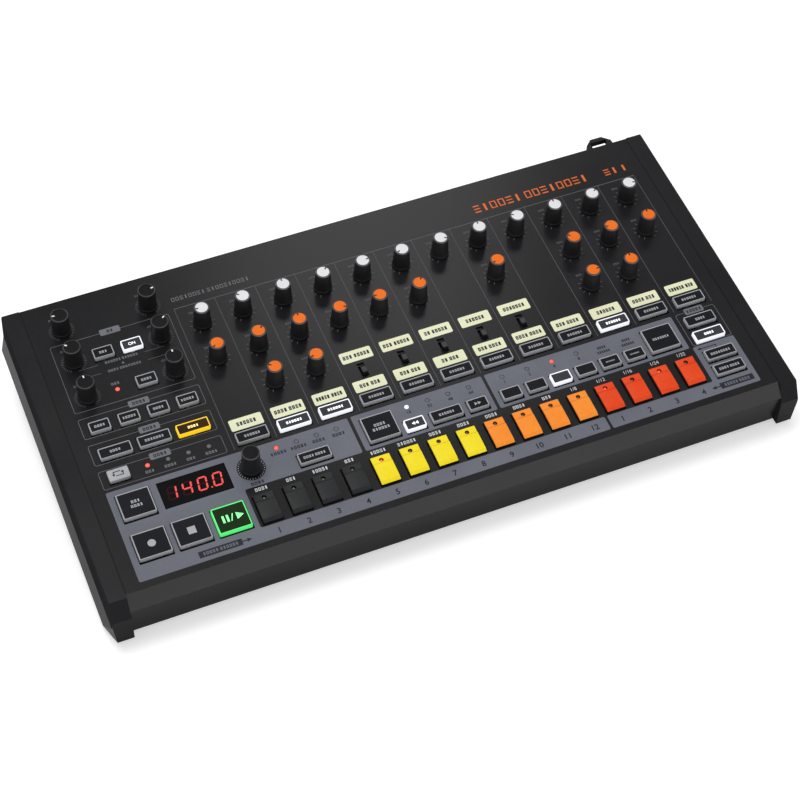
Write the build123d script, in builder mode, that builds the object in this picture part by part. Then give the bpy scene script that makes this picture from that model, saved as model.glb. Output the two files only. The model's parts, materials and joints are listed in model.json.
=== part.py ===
from build123d import *
import math
import os

os.makedirs("parts", exist_ok=True)

# ------------------------------------------------------------------ driving sizes, mm and degrees
# Places on the control surface are given as x (from the machine's middle, to the right), v (up the
# slope from the front bend) and n (out of the surface). The layout spreads with the panel, so each x
# is a share of its width and each v a share of its depth.

# Case
panel_tilt = 5.6
panel_width = 465.2
panel_depth = 237.5
front_height = 41.0
sheet = 1.2
nose_reach = 7.6
nose_drop = 9.8
lip_reach = 6.5
lip_depth = 35.4
rear_lip = 8.0
tab_width = 11.0
pan_sheet = 1.0
rear_sheet = 1.0
sheet_fit = 0.3
tub_inset = 14.0
tub_front = 15.0
foot_height = 3.0
foot_radius = 9.0
foot_edge_gap = 9.0

# End cheeks
cheek_width = 12.4
cheek_depth = 36.4
cheek_bend_reach = 2.3
cheek_nose_reach = 9.6
cheek_nose_drop = 14.0
cheek_foot_reach = 10.9
cheek_step_drop = 21.6
cheek_step_out = 1.0
cheek_flare = 4.0
cheek_rear = 0.5
cheek_bevel = 0.8
corner_start = 1.3
corner_back = 15.2
corner_in = 5.0
pocket_depth = 7.0
pocket_border = 5.5

# Columns of dials, one for each voice
column_count = 12
column_pitch = 0.06341 * panel_width
first_column_x = -0.25344 * panel_width
level_row_v = 0.77853 * panel_depth
dial_row_pitch = 0.13432 * panel_depth
tone_columns = (1, 2, 3, 4, 5, 6, 8, 10, 11, 12)
extra_columns = (2, 3, 10, 11)
switch_columns = (4, 5, 6, 7, 8)
level_angles = (-90, -56, 0, 50, 88, -115, 116, 0, -66, 0, 57, 105)
tone_angles = (-127, 54, 0, 115, -90, 37, -116, -55, -88, 0)
extra_angles = (-54, -112, 88, 0)

# Left section
section_x = -0.38478 * panel_width
black_dial_spread = 0.06621 * panel_width
black_dial_rows = [share * panel_depth for share in (0.89284, 0.77347, 0.64421)]
black_dial_angles = ((-84, 82), (-56, 55), (0, 0))
small_pitch = 0.04364 * panel_width
wide_pitch = 0.05761 * panel_width
effect_row_v = 0.77474 * panel_depth
filter_row_v = 0.64126 * panel_depth
edit_row_v = 0.53474 * panel_depth
mode_row_v = 0.44126 * panel_depth
sync_row_v = 0.36379 * panel_depth
transport_row_v = 0.12211 * panel_depth
encoder_x = -0.27343 * panel_width
encoder_v = 0.25726 * panel_depth
display_x = -0.35662 * panel_width
display_v = 0.25726 * panel_depth
display_width = 45.9
display_depth = 20.0

# Middle and right sections
select_row_v = 0.35832 * panel_depth
timing_row_v = 0.23200 * panel_depth
lamp_row_v = 0.29600 * panel_depth
square_row_v = 0.25642 * panel_depth
tempo_x = -0.18336 * panel_width
tempo_lamp_pitch = 0.03031 * panel_width
auto_x = -0.07803 * panel_width
length_x = 0.01956 * panel_width
length_spread = 0.04912 * panel_width
length_lamp_pitch = 0.03246 * panel_width
scale_x = 0.12188 * panel_width
scale_pitch = 0.03992 * panel_width
trigger_x = 0.37059 * panel_width
right_x = 0.44239 * panel_width
right_rows = [share * panel_depth for share in (0.27958, 0.22274, 0.15032, 0.09432)]
signal_lamp_v = 0.64126 * panel_depth
sync_lamp_x = -0.40751 * panel_width
sync_lamp_row_v = 0.36716 * panel_depth

# Dials
dial_height = 17.6
dial_top_radius = 5.25
dial_foot_radius = 6.15
dial_skirt = 0.4
dial_cap_radius = 4.7
dial_cap_sink = 0.9
black_dial_height = 17.8
black_dial_top_radius = 5.95
black_dial_foot_radius = 6.35
encoder_dial_height = 18.6
dial_gap = 0.6
dial_edge = 0.35
dial_socket_radius = 4.4
dial_socket_height = 2.6
pointer_width = 1.1
pointer_length = 2.6
shaft_radius = 3.0
shaft_flat = 1.5
shaft_height = 13.0
pot_width = 9.8
pot_length = 11.4
pot_height = 5.6
bush_radius = 3.75
bush_rise = 1.2
encoder_body = 12.0

# Push buttons
button_small = 12.0
button_wide_gap = 6.7
button_wide = wide_pitch - button_wide_gap
button_lens_depth = 6.5
button_square_depth = 17.7
button_frame = 1.1
button_front_frame = 1.6
button_flare = 0.8
button_height = 2.3
button_lens_sink = 0.25
button_gap = 0.4
button_rim = 0.8
button_rim_height = 1.4
button_travel = 0.8
plunger_width = 3.2
switch_width = 6.0
switch_height = 3.4
switch_stem_radius = 1.7
switch_stem_height = 0.6

# Step keys
key_count = 16
key_pitch = 0.04392 * panel_width
first_key_x = -0.27429 * panel_width
key_width = 13.4
key_front_v = 0.07326 * panel_depth
key_length = 21.5
key_height = 3.0
key_bevel_run = 2.5
key_bevel_drop = 1.8
key_groove_back = 5.7
key_groove = 0.4
key_lamp_back = 3.4
key_lamp_hole = 1.6
key_lamp_radius = 1.0
key_lamp_rise = 1.6
key_wall = 1.4
key_drop = 4.6
key_gap = 0.6
key_travel_angle = 3.0
key_pin_radius = 1.0
key_pin_drop = 4.0
key_pin_back = 0.9
key_pin_out = 1.7
bracket_width = 3.4
keys_in_colour = 4

# Slide switches
slot_v = 0.45979 * panel_depth
slot_width = 5.2
slot_length = 11.8
lever_width = 4.0
lever_length = 5.0
lever_rise = 3.6
lever_travel = 3.4
lever_rest_back = 2.0

# Lamps
lamp_radius = 1.5
lamp_foot_radius = 1.9
lamp_rise = 0.15

# Boards
board = 1.6
board_drop = 10.0
board_edge_gap = 4.0
board_front_v = 4.5
board_rear_margin = 15.5
main_board_depth = 72.0
main_board_lift = 6.0
standoff_radius = 2.9
screw_radius = 1.5
screw_head_radius = 2.7
screw_head = 1.6
screw_grip = 4.0
front_screws = 3
rear_screws = 5
rear_screw_pitch = 0.18182 * panel_width
pan_screws = 4
pan_screw_pitch = 0.27642 * panel_width
standoff_edge_gap = 1.0
standoff_lift = 1.0
tempo_standoff_x = -0.11668 * panel_width
scale_standoff_x = 0.09394 * panel_width
main_standoff_side = 6.0
main_standoff_front = 5.0
main_standoff_back = 8.0
chip_count = 5
chip_pitch = 0.16349 * panel_width
chip_height = 2.0
chip_size = 14.0
capacitor_radius = 5.0
capacitor_height = 12.0
header_length = 60.0
header_width = 5.0
hole_fit = 0.2

# Rear sockets, all pointing backwards
jack_count = 15
jack_pitch = 0.03611 * panel_width
first_jack_x = -0.44390 * panel_width
jack_width = 14.8
jack_height = 13.0
jack_length = 26.0
jack_bore_radius = 3.3
jack_bore_length = 26.0
jack_bush_radius = 4.6
jack_bush_out = 3.2
jack_nut_radius = 6.2
jack_nut = 2.0
mini_count = 5
mini_pitch = 0.02365 * panel_width
first_mini_x = 0.09243 * panel_width
mini_width = 9.0
mini_length = 13.0
mini_bore_radius = 1.85
mini_bush_radius = 3.0
din_count = 3
din_pitch = 0.04299 * panel_width
first_din_x = 0.22141 * panel_width
din_width = 17.5
din_length = 13.0
din_face_radius = 8.0
din_slot_radius = 6.9
din_core_radius = 5.5
din_slot_length = 8.0
din_pin_circle = 3.75
din_pin_radius = 0.75
din_pins = 5
usb_x = 0.34501 * panel_width
usb_width = 12.0
usb_height = 11.0
usb_length = 16.0
usb_mouth_width = 8.5
usb_mouth_height = 7.8
usb_mouth_length = 9.0
usb_tongue_width = 5.6
usb_tongue_height = 3.2
power_x = 0.43852 * panel_width
power_width = 9.0
power_height = 11.0
power_length = 14.0
power_bore_radius = 3.15
power_bore_length = 10.85
power_pin_radius = 1.0
rocker_x = 0.38908 * panel_width
rocker_z = 24.0
rocker_length = 16.0
rocker_width = 10.0
rocker_depth = 5.5
rocker_dish = 1.6
rocker_tilt = 9.0
rocker_gap = 0.4
rocker_frame = 1.5
rocker_body_depth = 9.0
rocker_wall = 1.1
rocker_flange = 1.2

# Cable hook
hook_x = 0.46926 * panel_width
hook_z = 50.0
hook_reach = 21.9
hook_width = 20.0
hook_thickness = 4.0
hook_ring = 3.6
hook_chamfer = 5.5
hook_neck_width = 8.0
hook_neck = 5.0
hook_catch_width = 13.0
hook_catch = 1.6

# ------------------------------------------------------------------ frame and shared places
tilt = math.radians(panel_tilt)
rise = math.sin(tilt)
run = math.cos(tilt)
half_width = panel_width / 2
rear_skin = panel_depth * run - sheet - sheet_fit / 3
cheek_front = cheek_nose_reach * run - cheek_nose_drop * rise
bend_y = -(rear_skin + hook_reach - cheek_front) / 2
out_of_panel = (0, -rise, run)

panel = Plane(origin=(0, bend_y, front_height), x_dir=(1, 0, 0), z_dir=out_of_panel)
side = Plane(origin=(0, bend_y, front_height), x_dir=(0, run, rise), z_dir=(1, 0, 0))
rear_outer_y = bend_y + rear_skin
rear_inner_y = rear_outer_y - rear_sheet
board_top = -board_drop
board_half_width = half_width - sheet - board_edge_gap
board_rear_v = panel_depth - board_rear_margin
main_board_bottom = foot_height + pan_sheet + main_board_lift
main_board_top = main_board_bottom + board
tub_half_width = half_width - tub_inset
rim_top = -(lip_depth - pan_sheet)
key_rear_v = key_front_v + key_length
key_pin_v = key_rear_v + key_pin_back
lever_rest_v = slot_v - lever_rest_back


def height_of(y, n):
    """Z of the plane that lies n out of the control surface, at a world Y."""
    return front_height + ((y - bend_y) * rise + n) / run


def column_x(number):
    """X of a voice column, counted from 1."""
    return first_column_x + column_pitch * (number - 1)


def row_x(first, pitch, count):
    """X of each member of an evenly spaced row."""
    return [first + pitch * i for i in range(count)]


def panel_place(x, v, turn=0.0):
    """The plane on the control surface at x and v, turned clockwise by turn degrees."""
    angle = math.radians(turn)
    right = (math.cos(angle), -math.sin(angle) * run, -math.sin(angle) * rise)
    return Plane(origin=panel.from_local_coords((x, v, 0)), x_dir=right, z_dir=out_of_panel)


def save(shape, name):
    """Labels a finished piece and writes it."""
    shape.label = name
    export_step(shape, f"parts/{name}.step")


def group(*pieces):
    """Separate solids that belong to one piece, kept apart."""
    return Compound([solid for piece in pieces for solid in piece.solids()])


# Every dial: its place, the angle of its pointer and its kind
level_dials = [(column_x(k + 1), level_row_v, level_angles[k]) for k in range(column_count)]
tone_dials = [(column_x(k), level_row_v - dial_row_pitch, a) for k, a in zip(tone_columns, tone_angles)]
extra_dials = [
    (column_x(k), level_row_v - 2 * dial_row_pitch, a) for k, a in zip(extra_columns, extra_angles)
]
black_dials = [
    (section_x + hand * black_dial_spread, v, angles[i])
    for v, angles in zip(black_dial_rows, black_dial_angles)
    for i, hand in enumerate((-1, 1))
]
pot_places = [(x, v) for x, v, angle in level_dials + tone_dials + extra_dials + black_dials]
encoder_place = (encoder_x, encoder_v)

# Every push button: the middle of its lens
small_columns = [section_x + small_pitch * (i - 1.5) for i in range(4)]
wide_columns = [section_x + wide_pitch * (i - 1) for i in range(3)]
small_buttons = [
    (small_columns[1], effect_row_v),
    (small_columns[2], effect_row_v),
    (small_columns[2], filter_row_v),
    *[(x, edit_row_v) for x in small_columns],
    (small_columns[0], sync_row_v),
    (length_x - length_spread, timing_row_v),
    (length_x + length_spread, timing_row_v),
    *[(scale_x + scale_pitch * i, timing_row_v) for i in range(6)],
]
wide_buttons = [
    *[(x, mode_row_v) for x in wide_columns],
    (tempo_x, timing_row_v),
    (length_x, timing_row_v),
    *[(right_x, v) for v in right_rows],
]
select_buttons = [(column_x(k + 1), select_row_v) for k in range(column_count)]
square_buttons = [
    (wide_columns[0], square_row_v),
    *[(x, transport_row_v) for x in wide_columns],
    (auto_x, square_row_v),
    (trigger_x, square_row_v),
]

# Lamps, keys and slide switches
lamp_places = [
    (small_columns[1], signal_lamp_v),
    *[(sync_lamp_x + tempo_lamp_pitch * i, sync_lamp_row_v) for i in range(4)],
    *[(tempo_x + tempo_lamp_pitch * (i - 1.5), lamp_row_v) for i in range(4)],
    *[(length_x + length_lamp_pitch * (i - 1.5), lamp_row_v) for i in range(4)],
    *[(scale_x + scale_pitch * i, lamp_row_v) for i in range(4)],
]
key_places = [(x, key_front_v + key_length / 2) for x in row_x(first_key_x, key_pitch, key_count)]
key_lamp_places = [(x, key_rear_v - key_lamp_back) for x, v in key_places]
slot_places = [(column_x(k), slot_v) for k in switch_columns]

# Fasteners
screw_step = (panel_depth - 2 * tub_front) / 2
side_screws_v = [tub_front + screw_step * i for i in range(3)]
tab_screw_x = half_width - sheet - tab_width / 2
front_tab_v = -lip_reach + sheet
front_screw_v = front_tab_v + tab_width / 2
front_screw_xs = [panel_width / front_screws * (i - 1) for i in range(front_screws)]
rim_screws = [(hand * tab_screw_x, v) for hand in (-1, 1) for v in side_screws_v]
rim_screws += [(x, front_screw_v) for x in front_screw_xs]
cheek_screw_n = -cheek_depth / 2
gap_row_v = level_row_v - dial_row_pitch / 2
lamp_gap_v = (select_row_v - button_lens_depth / 2 - button_front_frame - button_flare + lamp_row_v) / 2
edge_x = board_half_width - standoff_radius - standoff_edge_gap
standoff_places = [
    *[(x, gap_row_v) for x in (-edge_x, *[column_x(k) - column_pitch / 2 for k in (1, 5, 9)], edge_x)],
    *[(x, lamp_gap_v) for x in (encoder_x, tempo_standoff_x, scale_standoff_x)],
    *[(x, key_front_v / 2 + standoff_lift) for x in (-edge_x, -edge_x / 2, 0, edge_x / 2, edge_x)],
]
main_board_half = tub_half_width - pan_sheet - sheet_fit
main_standoff_x = main_board_half - main_standoff_side
main_standoffs = [
    (x, rear_inner_y - y)
    for x in (-main_standoff_x, -main_board_half / 3, main_board_half / 3, main_standoff_x)
    for y in (main_board_depth - main_standoff_front, jack_length + main_standoff_back)
]
jack_xs = row_x(first_jack_x, jack_pitch, jack_count)
mini_xs = row_x(first_mini_x, mini_pitch, mini_count)
din_xs = row_x(first_din_x, din_pitch, din_count)
jack_z = main_board_top + jack_height / 2
mini_z = main_board_top + mini_width / 2
din_z = main_board_top + din_width / 2
usb_z = main_board_top + usb_height / 2
power_z = main_board_top + power_height / 2
rear_screw_z = front_height + panel_depth * rise - rear_lip / 2
rear_screw_xs = row_x(-rear_screw_pitch * (rear_screws - 1) / 2, rear_screw_pitch, rear_screws)
pan_screw_z = foot_height + pan_sheet + screw_head_radius
pan_tab_top = main_board_bottom - sheet_fit
pan_screw_xs = row_x(-pan_screw_pitch * (pan_screws - 1) / 2, pan_screw_pitch, pan_screws)
rear_plane = Plane(origin=(0, rear_outer_y, 0), x_dir=(1, 0, 0), z_dir=(0, -1, 0))
mouth_plane = Plane(origin=(0, rear_outer_y, 0), x_dir=(-1, 0, 0), z_dir=(0, 1, 0))


def button_sketch(places, lens_width, lens_depth, grow=0.0):
    """Outlines of the button caps where they pass the panel, grown all round."""
    frame = button_frame + button_front_frame + button_flare
    shift = (button_frame - button_front_frame - button_flare) / 2
    with Locations(*[(x, v + shift) for x, v in places]):
        Rectangle(lens_width + 2 * button_frame + 2 * grow, lens_depth + frame + 2 * grow)


# ------------------------------------------------------------------ top panel
# One folded steel sheet: the control surface, the front lip, a short rear lip, two side flanges and
# the turned-in tabs that the bottom pan is screwed to.
rear_lip_v = panel_depth - rear_lip * rise
rear_lip_n = -rear_lip * run
fold_outline = [
    (rear_lip_v, rear_lip_n),
    (panel_depth, 0),
    (0, 0),
    (-nose_reach, -nose_drop),
    (-lip_reach, -lip_depth),
]
flange_outline = [
    (panel_depth - tub_front / 2, -sheet / 2),
    (0, -sheet / 2),
    (-nose_reach + sheet, -nose_drop),
    (-lip_reach + sheet / 2, rim_top),
    (panel_depth - tub_front / 2, rim_top),
]
with BuildPart() as top_panel:
    with BuildSketch(side.offset(-half_width)):
        with BuildLine():
            Polyline(*fold_outline)
            offset(amount=sheet, side=Side.LEFT, kind=Kind.INTERSECTION)
        make_face()
    extrude(amount=panel_width)
    with BuildSketch(side.offset(-half_width), side.offset(half_width - sheet)):
        with BuildLine():
            Polyline(*flange_outline, close=True)
        make_face()
    extrude(amount=sheet)
    tab_length = panel_depth - tub_front / 2 - front_tab_v
    with BuildSketch(panel.offset(rim_top)):
        for hand in (-1, 1):
            with Locations((hand * (half_width - tab_width / 2), front_tab_v + tab_length / 2)):
                Rectangle(tab_width, tab_length)
        with Locations((0, front_tab_v + tab_width / 2)):
            Rectangle(panel_width - tab_width, tab_width)
    extrude(amount=sheet)
    with BuildSketch(panel.offset(rim_top)):
        with Locations(*rim_screws):
            Circle(screw_radius + hole_fit / 4)
    extrude(amount=sheet, mode=Mode.SUBTRACT)
    with BuildSketch(side.offset(-half_width)):
        with Locations(*[(v, cheek_screw_n) for v in side_screws_v]):
            Circle(screw_radius + hole_fit)
    extrude(amount=panel_width, mode=Mode.SUBTRACT)
    with BuildSketch(rear_plane.offset(-2 * sheet)):
        with Locations(*[(x, rear_screw_z) for x in rear_screw_xs]):
            Circle(screw_radius + hole_fit)
    extrude(amount=3 * sheet, mode=Mode.SUBTRACT)
    with BuildSketch(panel):
        with Locations(*pot_places, encoder_place):
            Circle(bush_radius + hole_fit)
        with Locations(*lamp_places):
            Circle(lamp_radius + hole_fit)
        with Locations(*slot_places):
            Rectangle(slot_width, slot_length)
        with Locations(*key_places):
            Rectangle(key_width + 2 * key_gap, key_length + 2 * key_gap)
        with Locations((display_x, display_v)):
            Rectangle(display_width + 2 * hole_fit, display_depth + 2 * hole_fit)
        button_sketch(small_buttons, button_small, button_lens_depth, button_gap)
        button_sketch(wide_buttons + select_buttons, button_wide, button_lens_depth, button_gap)
        button_sketch(square_buttons, button_wide, button_square_depth, button_gap)
    extrude(amount=-2 * sheet, mode=Mode.SUBTRACT)
save(top_panel.part, "top_panel")

# ------------------------------------------------------------------ bottom pan
# A shallow steel tub under the tilted case. Its rim lies flat against the top panel's tabs, and a low
# tab at the back takes the rear panel's screws.
tub_front_y = bend_y + tub_front * run
tub_rear_y = rear_inner_y
rim_rear_v = panel_depth - tub_front / 2
rim_front_v = front_tab_v + sheet_fit


def wedge(front_y, back_y, bottom_z, top_n, half):
    """Side profile between a flat bottom and a plane parallel to the control surface."""
    with BuildSketch(Plane.YZ.offset(-half)) as profile:
        with BuildLine():
            Polyline(
                (front_y, bottom_z),
                (back_y, bottom_z),
                (back_y, height_of(back_y, top_n)),
                (front_y, height_of(front_y, top_n)),
                close=True,
            )
        make_face()
    return profile.sketch


with BuildPart() as bottom_pan:
    outside = wedge(tub_front_y, tub_rear_y, foot_height, rim_top - pan_sheet / 2, tub_half_width)
    extrude(outside, amount=2 * tub_half_width)
    with BuildSketch(panel.offset(rim_top)):
        with Locations((0, (rim_front_v + rim_rear_v) / 2)):
            Rectangle(2 * (half_width - sheet_fit - sheet), rim_rear_v - rim_front_v)
    extrude(amount=-pan_sheet)
    inside = wedge(
        tub_front_y + pan_sheet,
        tub_rear_y - pan_sheet,
        foot_height + pan_sheet,
        rim_top + pan_sheet,
        tub_half_width - pan_sheet,
    )
    extrude(inside, amount=2 * (tub_half_width - pan_sheet), mode=Mode.SUBTRACT)
    with BuildSketch(Plane.XY.offset(pan_tab_top)):
        with Locations((0, tub_rear_y)):
            Rectangle(2 * (tub_half_width - pan_sheet), 4 * pan_sheet)
    extrude(amount=front_height, mode=Mode.SUBTRACT)
    with BuildSketch(panel.offset(rim_top)):
        with Locations(*rim_screws):
            Circle(screw_radius + hole_fit)
    extrude(amount=-pan_sheet, mode=Mode.SUBTRACT)
    with BuildSketch(rear_plane):
        with Locations(*[(x, pan_screw_z) for x in pan_screw_xs]):
            Circle(screw_radius + hole_fit / 4)
    extrude(amount=2 * (rear_sheet + pan_sheet), mode=Mode.SUBTRACT)
    with BuildSketch(Plane.XY.offset(foot_height)):
        with Locations(*main_standoffs):
            Circle(screw_radius + hole_fit)
    extrude(amount=pan_sheet, mode=Mode.SUBTRACT)
save(bottom_pan.part, "bottom_pan")

# ------------------------------------------------------------------ rear panel
# A flat steel sheet behind the pan and under the top panel's rear lip, punched for every socket.
rear_top_z = height_of(rear_outer_y, -sheet) - sheet_fit
rear_step_z = height_of(rear_outer_y, rim_top - pan_sheet)
with BuildPart() as rear_panel:
    with BuildSketch(rear_plane):
        with Locations((0, (foot_height + rear_top_z) / 2)):
            Rectangle(2 * tub_half_width, rear_top_z - foot_height)
        with Locations((0, (rear_step_z + rear_top_z) / 2)):
            Rectangle(2 * (half_width - sheet - sheet_fit), rear_top_z - rear_step_z)
        with Locations(*[(x, jack_z) for x in jack_xs]):
            Circle(jack_bush_radius + hole_fit, mode=Mode.SUBTRACT)
        with Locations(*[(x, mini_z) for x in mini_xs]):
            Circle(mini_bush_radius + hole_fit, mode=Mode.SUBTRACT)
        with Locations(*[(x, din_z) for x in din_xs]):
            Circle(din_face_radius + hole_fit, mode=Mode.SUBTRACT)
        with Locations((usb_x, usb_z)):
            Rectangle(usb_width + 2 * hole_fit, usb_height + 2 * hole_fit, mode=Mode.SUBTRACT)
        with Locations((power_x, power_z)):
            Rectangle(power_width + 2 * hole_fit, power_height + 2 * hole_fit, mode=Mode.SUBTRACT)
        with Locations((rocker_x, rocker_z)):
            Rectangle(
                rocker_length + 2 * (rocker_frame + rocker_gap + hole_fit),
                rocker_width + 2 * (rocker_wall + rocker_gap + hole_fit),
                mode=Mode.SUBTRACT,
            )
        with Locations((hook_x, hook_z)):
            Rectangle(
                hook_neck_width + 2 * hole_fit, hook_thickness + 2 * hole_fit, mode=Mode.SUBTRACT
            )
        with Locations(*[(x, rear_screw_z) for x in rear_screw_xs]):
            Circle(screw_radius + hole_fit / 4, mode=Mode.SUBTRACT)
        with Locations(*[(x, pan_screw_z) for x in pan_screw_xs]):
            Circle(screw_radius + hole_fit, mode=Mode.SUBTRACT)
    extrude(amount=rear_sheet)
save(rear_panel.part, "rear_panel")

# ------------------------------------------------------------------ end cheeks
# Moulded end pieces. Each is hollowed from its inner face between the screw bosses, flares outwards
# at the foot and has its lower front corner cut away.
cheek_rear_v = panel_depth + cheek_rear
cheek_profile = [
    (cheek_rear_v, 0),
    (-cheek_bend_reach, 0),
    (-cheek_nose_reach, -cheek_nose_drop),
    (-cheek_foot_reach, -cheek_depth),
    (cheek_rear_v, -cheek_depth),
]
cheek_step_x = half_width + cheek_width + cheek_step_out
cheek_foot_x = half_width + cheek_width + cheek_flare


def make_cheek(hand):
    """One end cheek, with hand 1 on the right and -1 on the left."""

    def local(x, v, n):
        return panel.from_local_coords((hand * x, v, n))

    step = local(cheek_step_x, -cheek_nose_reach + corner_start, -cheek_step_drop)
    back = local(cheek_foot_x, -cheek_foot_reach + corner_back, -cheek_depth)
    inner = local(cheek_foot_x - corner_in, -cheek_foot_reach, -cheek_depth)
    facing = (back - step).cross(inner - step).normalized() * -hand
    section = Plane(
        origin=panel.from_local_coords((0, cheek_rear_v, 0)), x_dir=(1, 0, 0), z_dir=(0, -run, -rise)
    )
    length = cheek_rear_v + cheek_foot_reach
    bays = len(side_screws_v) - 1
    with BuildPart() as cheek:
        with BuildSketch(section):
            with BuildLine():
                Polyline(
                    (hand * half_width, 0),
                    (hand * (half_width + cheek_width), 0),
                    (hand * cheek_step_x, -cheek_step_drop),
                    (hand * cheek_foot_x, -cheek_depth),
                    (hand * half_width, -cheek_depth),
                    close=True,
                )
            make_face()
        extrude(amount=length)
        with BuildSketch(side.offset(hand * half_width)):
            with BuildLine():
                Polyline(*cheek_profile, close=True)
            make_face()
        extrude(amount=hand * cheek_foot_x, mode=Mode.INTERSECT)
        split(bisect_by=Plane(origin=step, z_dir=facing), keep=Keep.BOTTOM)
        crest = cheek.faces().sort_by(Axis(panel.origin, out_of_panel))[-1]
        chamfer(crest.edges().sort_by(Axis.X)[-1 if hand > 0 else 0], cheek_bevel)
        with BuildSketch(side.offset(hand * half_width)):
            for first, last in zip(side_screws_v[:bays], side_screws_v[1:]):
                with Locations(((first + last) / 2, cheek_screw_n)):
                    Rectangle(last - first - 4 * pocket_border, cheek_depth - 2 * pocket_border)
        extrude(amount=hand * pocket_depth, mode=Mode.SUBTRACT)
        with BuildSketch(side.offset(hand * half_width)):
            with Locations(*[(v, cheek_screw_n) for v in side_screws_v]):
                Circle(screw_radius + hole_fit / 4)
        extrude(amount=hand * pocket_depth, mode=Mode.SUBTRACT)
    return cheek.part


save(make_cheek(-1), "left_cheek")
save(make_cheek(1), "right_cheek")

# ------------------------------------------------------------------ rubber feet
# Round stick-on feet under the pan, near its corners and half way along.
foot_x = tub_half_width - foot_radius - foot_edge_gap
foot_front_y = tub_front_y + foot_radius + foot_edge_gap
foot_rear_y = tub_rear_y - foot_radius - foot_edge_gap
foot_places = [(x, y) for x in (-foot_x, 0, foot_x) for y in (foot_front_y, foot_rear_y)]
with BuildPart() as rubber_feet:
    with BuildSketch(Plane.XY):
        with Locations(*foot_places):
            Circle(foot_radius)
    extrude(amount=foot_height)
    chamfer(rubber_feet.edges().group_by(Axis.Z)[0], foot_height / 4)
save(rubber_feet.part, "rubber_feet")

# ------------------------------------------------------------------ control board and its supports
# The board hangs under the top panel on spacers. Between the step keys, brackets on the board carry
# the keys' pivot pins.
board_length = board_rear_v - board_front_v
with BuildPart() as control_board:
    with BuildSketch(panel.offset(board_top - board)):
        with Locations((0, board_front_v + board_length / 2)):
            Rectangle(2 * board_half_width, board_length)
        with Locations(*standoff_places):
            Circle(screw_radius + hole_fit, mode=Mode.SUBTRACT)
    extrude(amount=board)
save(control_board.part, "control_board")

bracket_xs = row_x(first_key_x - key_pitch / 2, key_pitch, key_count + 1)
bracket_top = -key_pin_drop + 2 * key_pin_radius
pin_bore = key_pin_radius + 1.5 * hole_fit
with BuildPart() as supports:
    with BuildSketch(panel.offset(board_top)):
        with Locations(*standoff_places):
            RegularPolygon(standoff_radius, 6)
            Circle(screw_radius + hole_fit / 4, mode=Mode.SUBTRACT)
    extrude(amount=board_drop - sheet)
    with BuildSketch(panel.offset(board_top)):
        with Locations(*[(x, key_pin_v) for x in bracket_xs]):
            Rectangle(bracket_width, 6 * key_pin_radius)
    extrude(amount=bracket_top - board_top)
    with BuildSketch(side.offset(bracket_xs[0] - bracket_width)):
        with Locations((key_pin_v, -key_pin_drop)):
            Circle(pin_bore)
    extrude(amount=bracket_xs[-1] - bracket_xs[0] + 2 * bracket_width, mode=Mode.SUBTRACT)
with BuildPart() as main_supports:
    with BuildSketch(Plane.XY.offset(foot_height + pan_sheet)):
        with Locations(*main_standoffs):
            RegularPolygon(standoff_radius, 6)
            Circle(screw_radius + hole_fit / 4, mode=Mode.SUBTRACT)
    extrude(amount=main_board_lift)
save(group(supports.part, main_supports.part), "board_supports")

# ------------------------------------------------------------------ main board
# The audio and power board lies in the pan behind the front feet. It carries the rear sockets, a few
# chips and capacitors, and the header that the control board plugs onto.
main_board_middle_y = rear_inner_y - sheet_fit - pan_sheet - main_board_depth / 2
chip_xs = row_x(-chip_pitch * (chip_count - 1) / 2, chip_pitch, chip_count)
with BuildPart() as main_board:
    with BuildSketch(Plane.XY.offset(main_board_bottom)):
        with Locations((0, main_board_middle_y)):
            Rectangle(2 * main_board_half, main_board_depth)
        with Locations(*main_standoffs):
            Circle(screw_radius + hole_fit, mode=Mode.SUBTRACT)
    extrude(amount=board)
chip_row_y = rear_inner_y - main_board_depth + 3 * standoff_radius + screw_head_radius + chip_size / 2
with BuildPart() as board_parts:
    with BuildSketch(Plane.XY.offset(main_board_top)):
        with Locations(*[(x, chip_row_y) for x in chip_xs]):
            Rectangle(chip_size, chip_size)
    extrude(amount=chip_height)
    with BuildSketch(Plane.XY.offset(main_board_top)):
        with Locations(*[(x + 2 * chip_size, chip_row_y) for x in chip_xs]):
            Circle(capacitor_radius)
    extrude(amount=capacitor_height)
    header_y = chip_row_y + chip_size / 2 + header_width
    header_z = height_of(header_y, board_top - board) - main_board_top
    with BuildSketch(Plane.XY.offset(main_board_top)):
        with Locations((0, header_y)):
            Rectangle(header_length, header_width)
    extrude(amount=header_z - header_width * rise)
save(group(main_board.part, board_parts.part), "main_board")

# ------------------------------------------------------------------ potentiometers and encoder
# Upright board-mounted pots, each with a plain bush that stands through the panel, and the data
# encoder. Each is bored for the shaft that turns with its dial.
shaft_bore = shaft_radius + 1.5 * hole_fit
with BuildPart() as pots:
    with BuildSketch(panel.offset(board_top)):
        with Locations(*pot_places):
            Rectangle(pot_width, pot_length)
        with Locations(encoder_place):
            Rectangle(encoder_body, encoder_body)
    extrude(amount=pot_height)
    with BuildSketch(panel.offset(board_top)):
        with Locations(*pot_places, encoder_place):
            Circle(bush_radius)
    extrude(amount=board_drop + bush_rise - dial_gap)
    with BuildSketch(panel.offset(board_top + pot_height / 4)):
        with Locations(*pot_places, encoder_place):
            Circle(shaft_bore)
    extrude(amount=board_drop + bush_rise, mode=Mode.SUBTRACT)
save(pots.part, "potentiometers")

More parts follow.
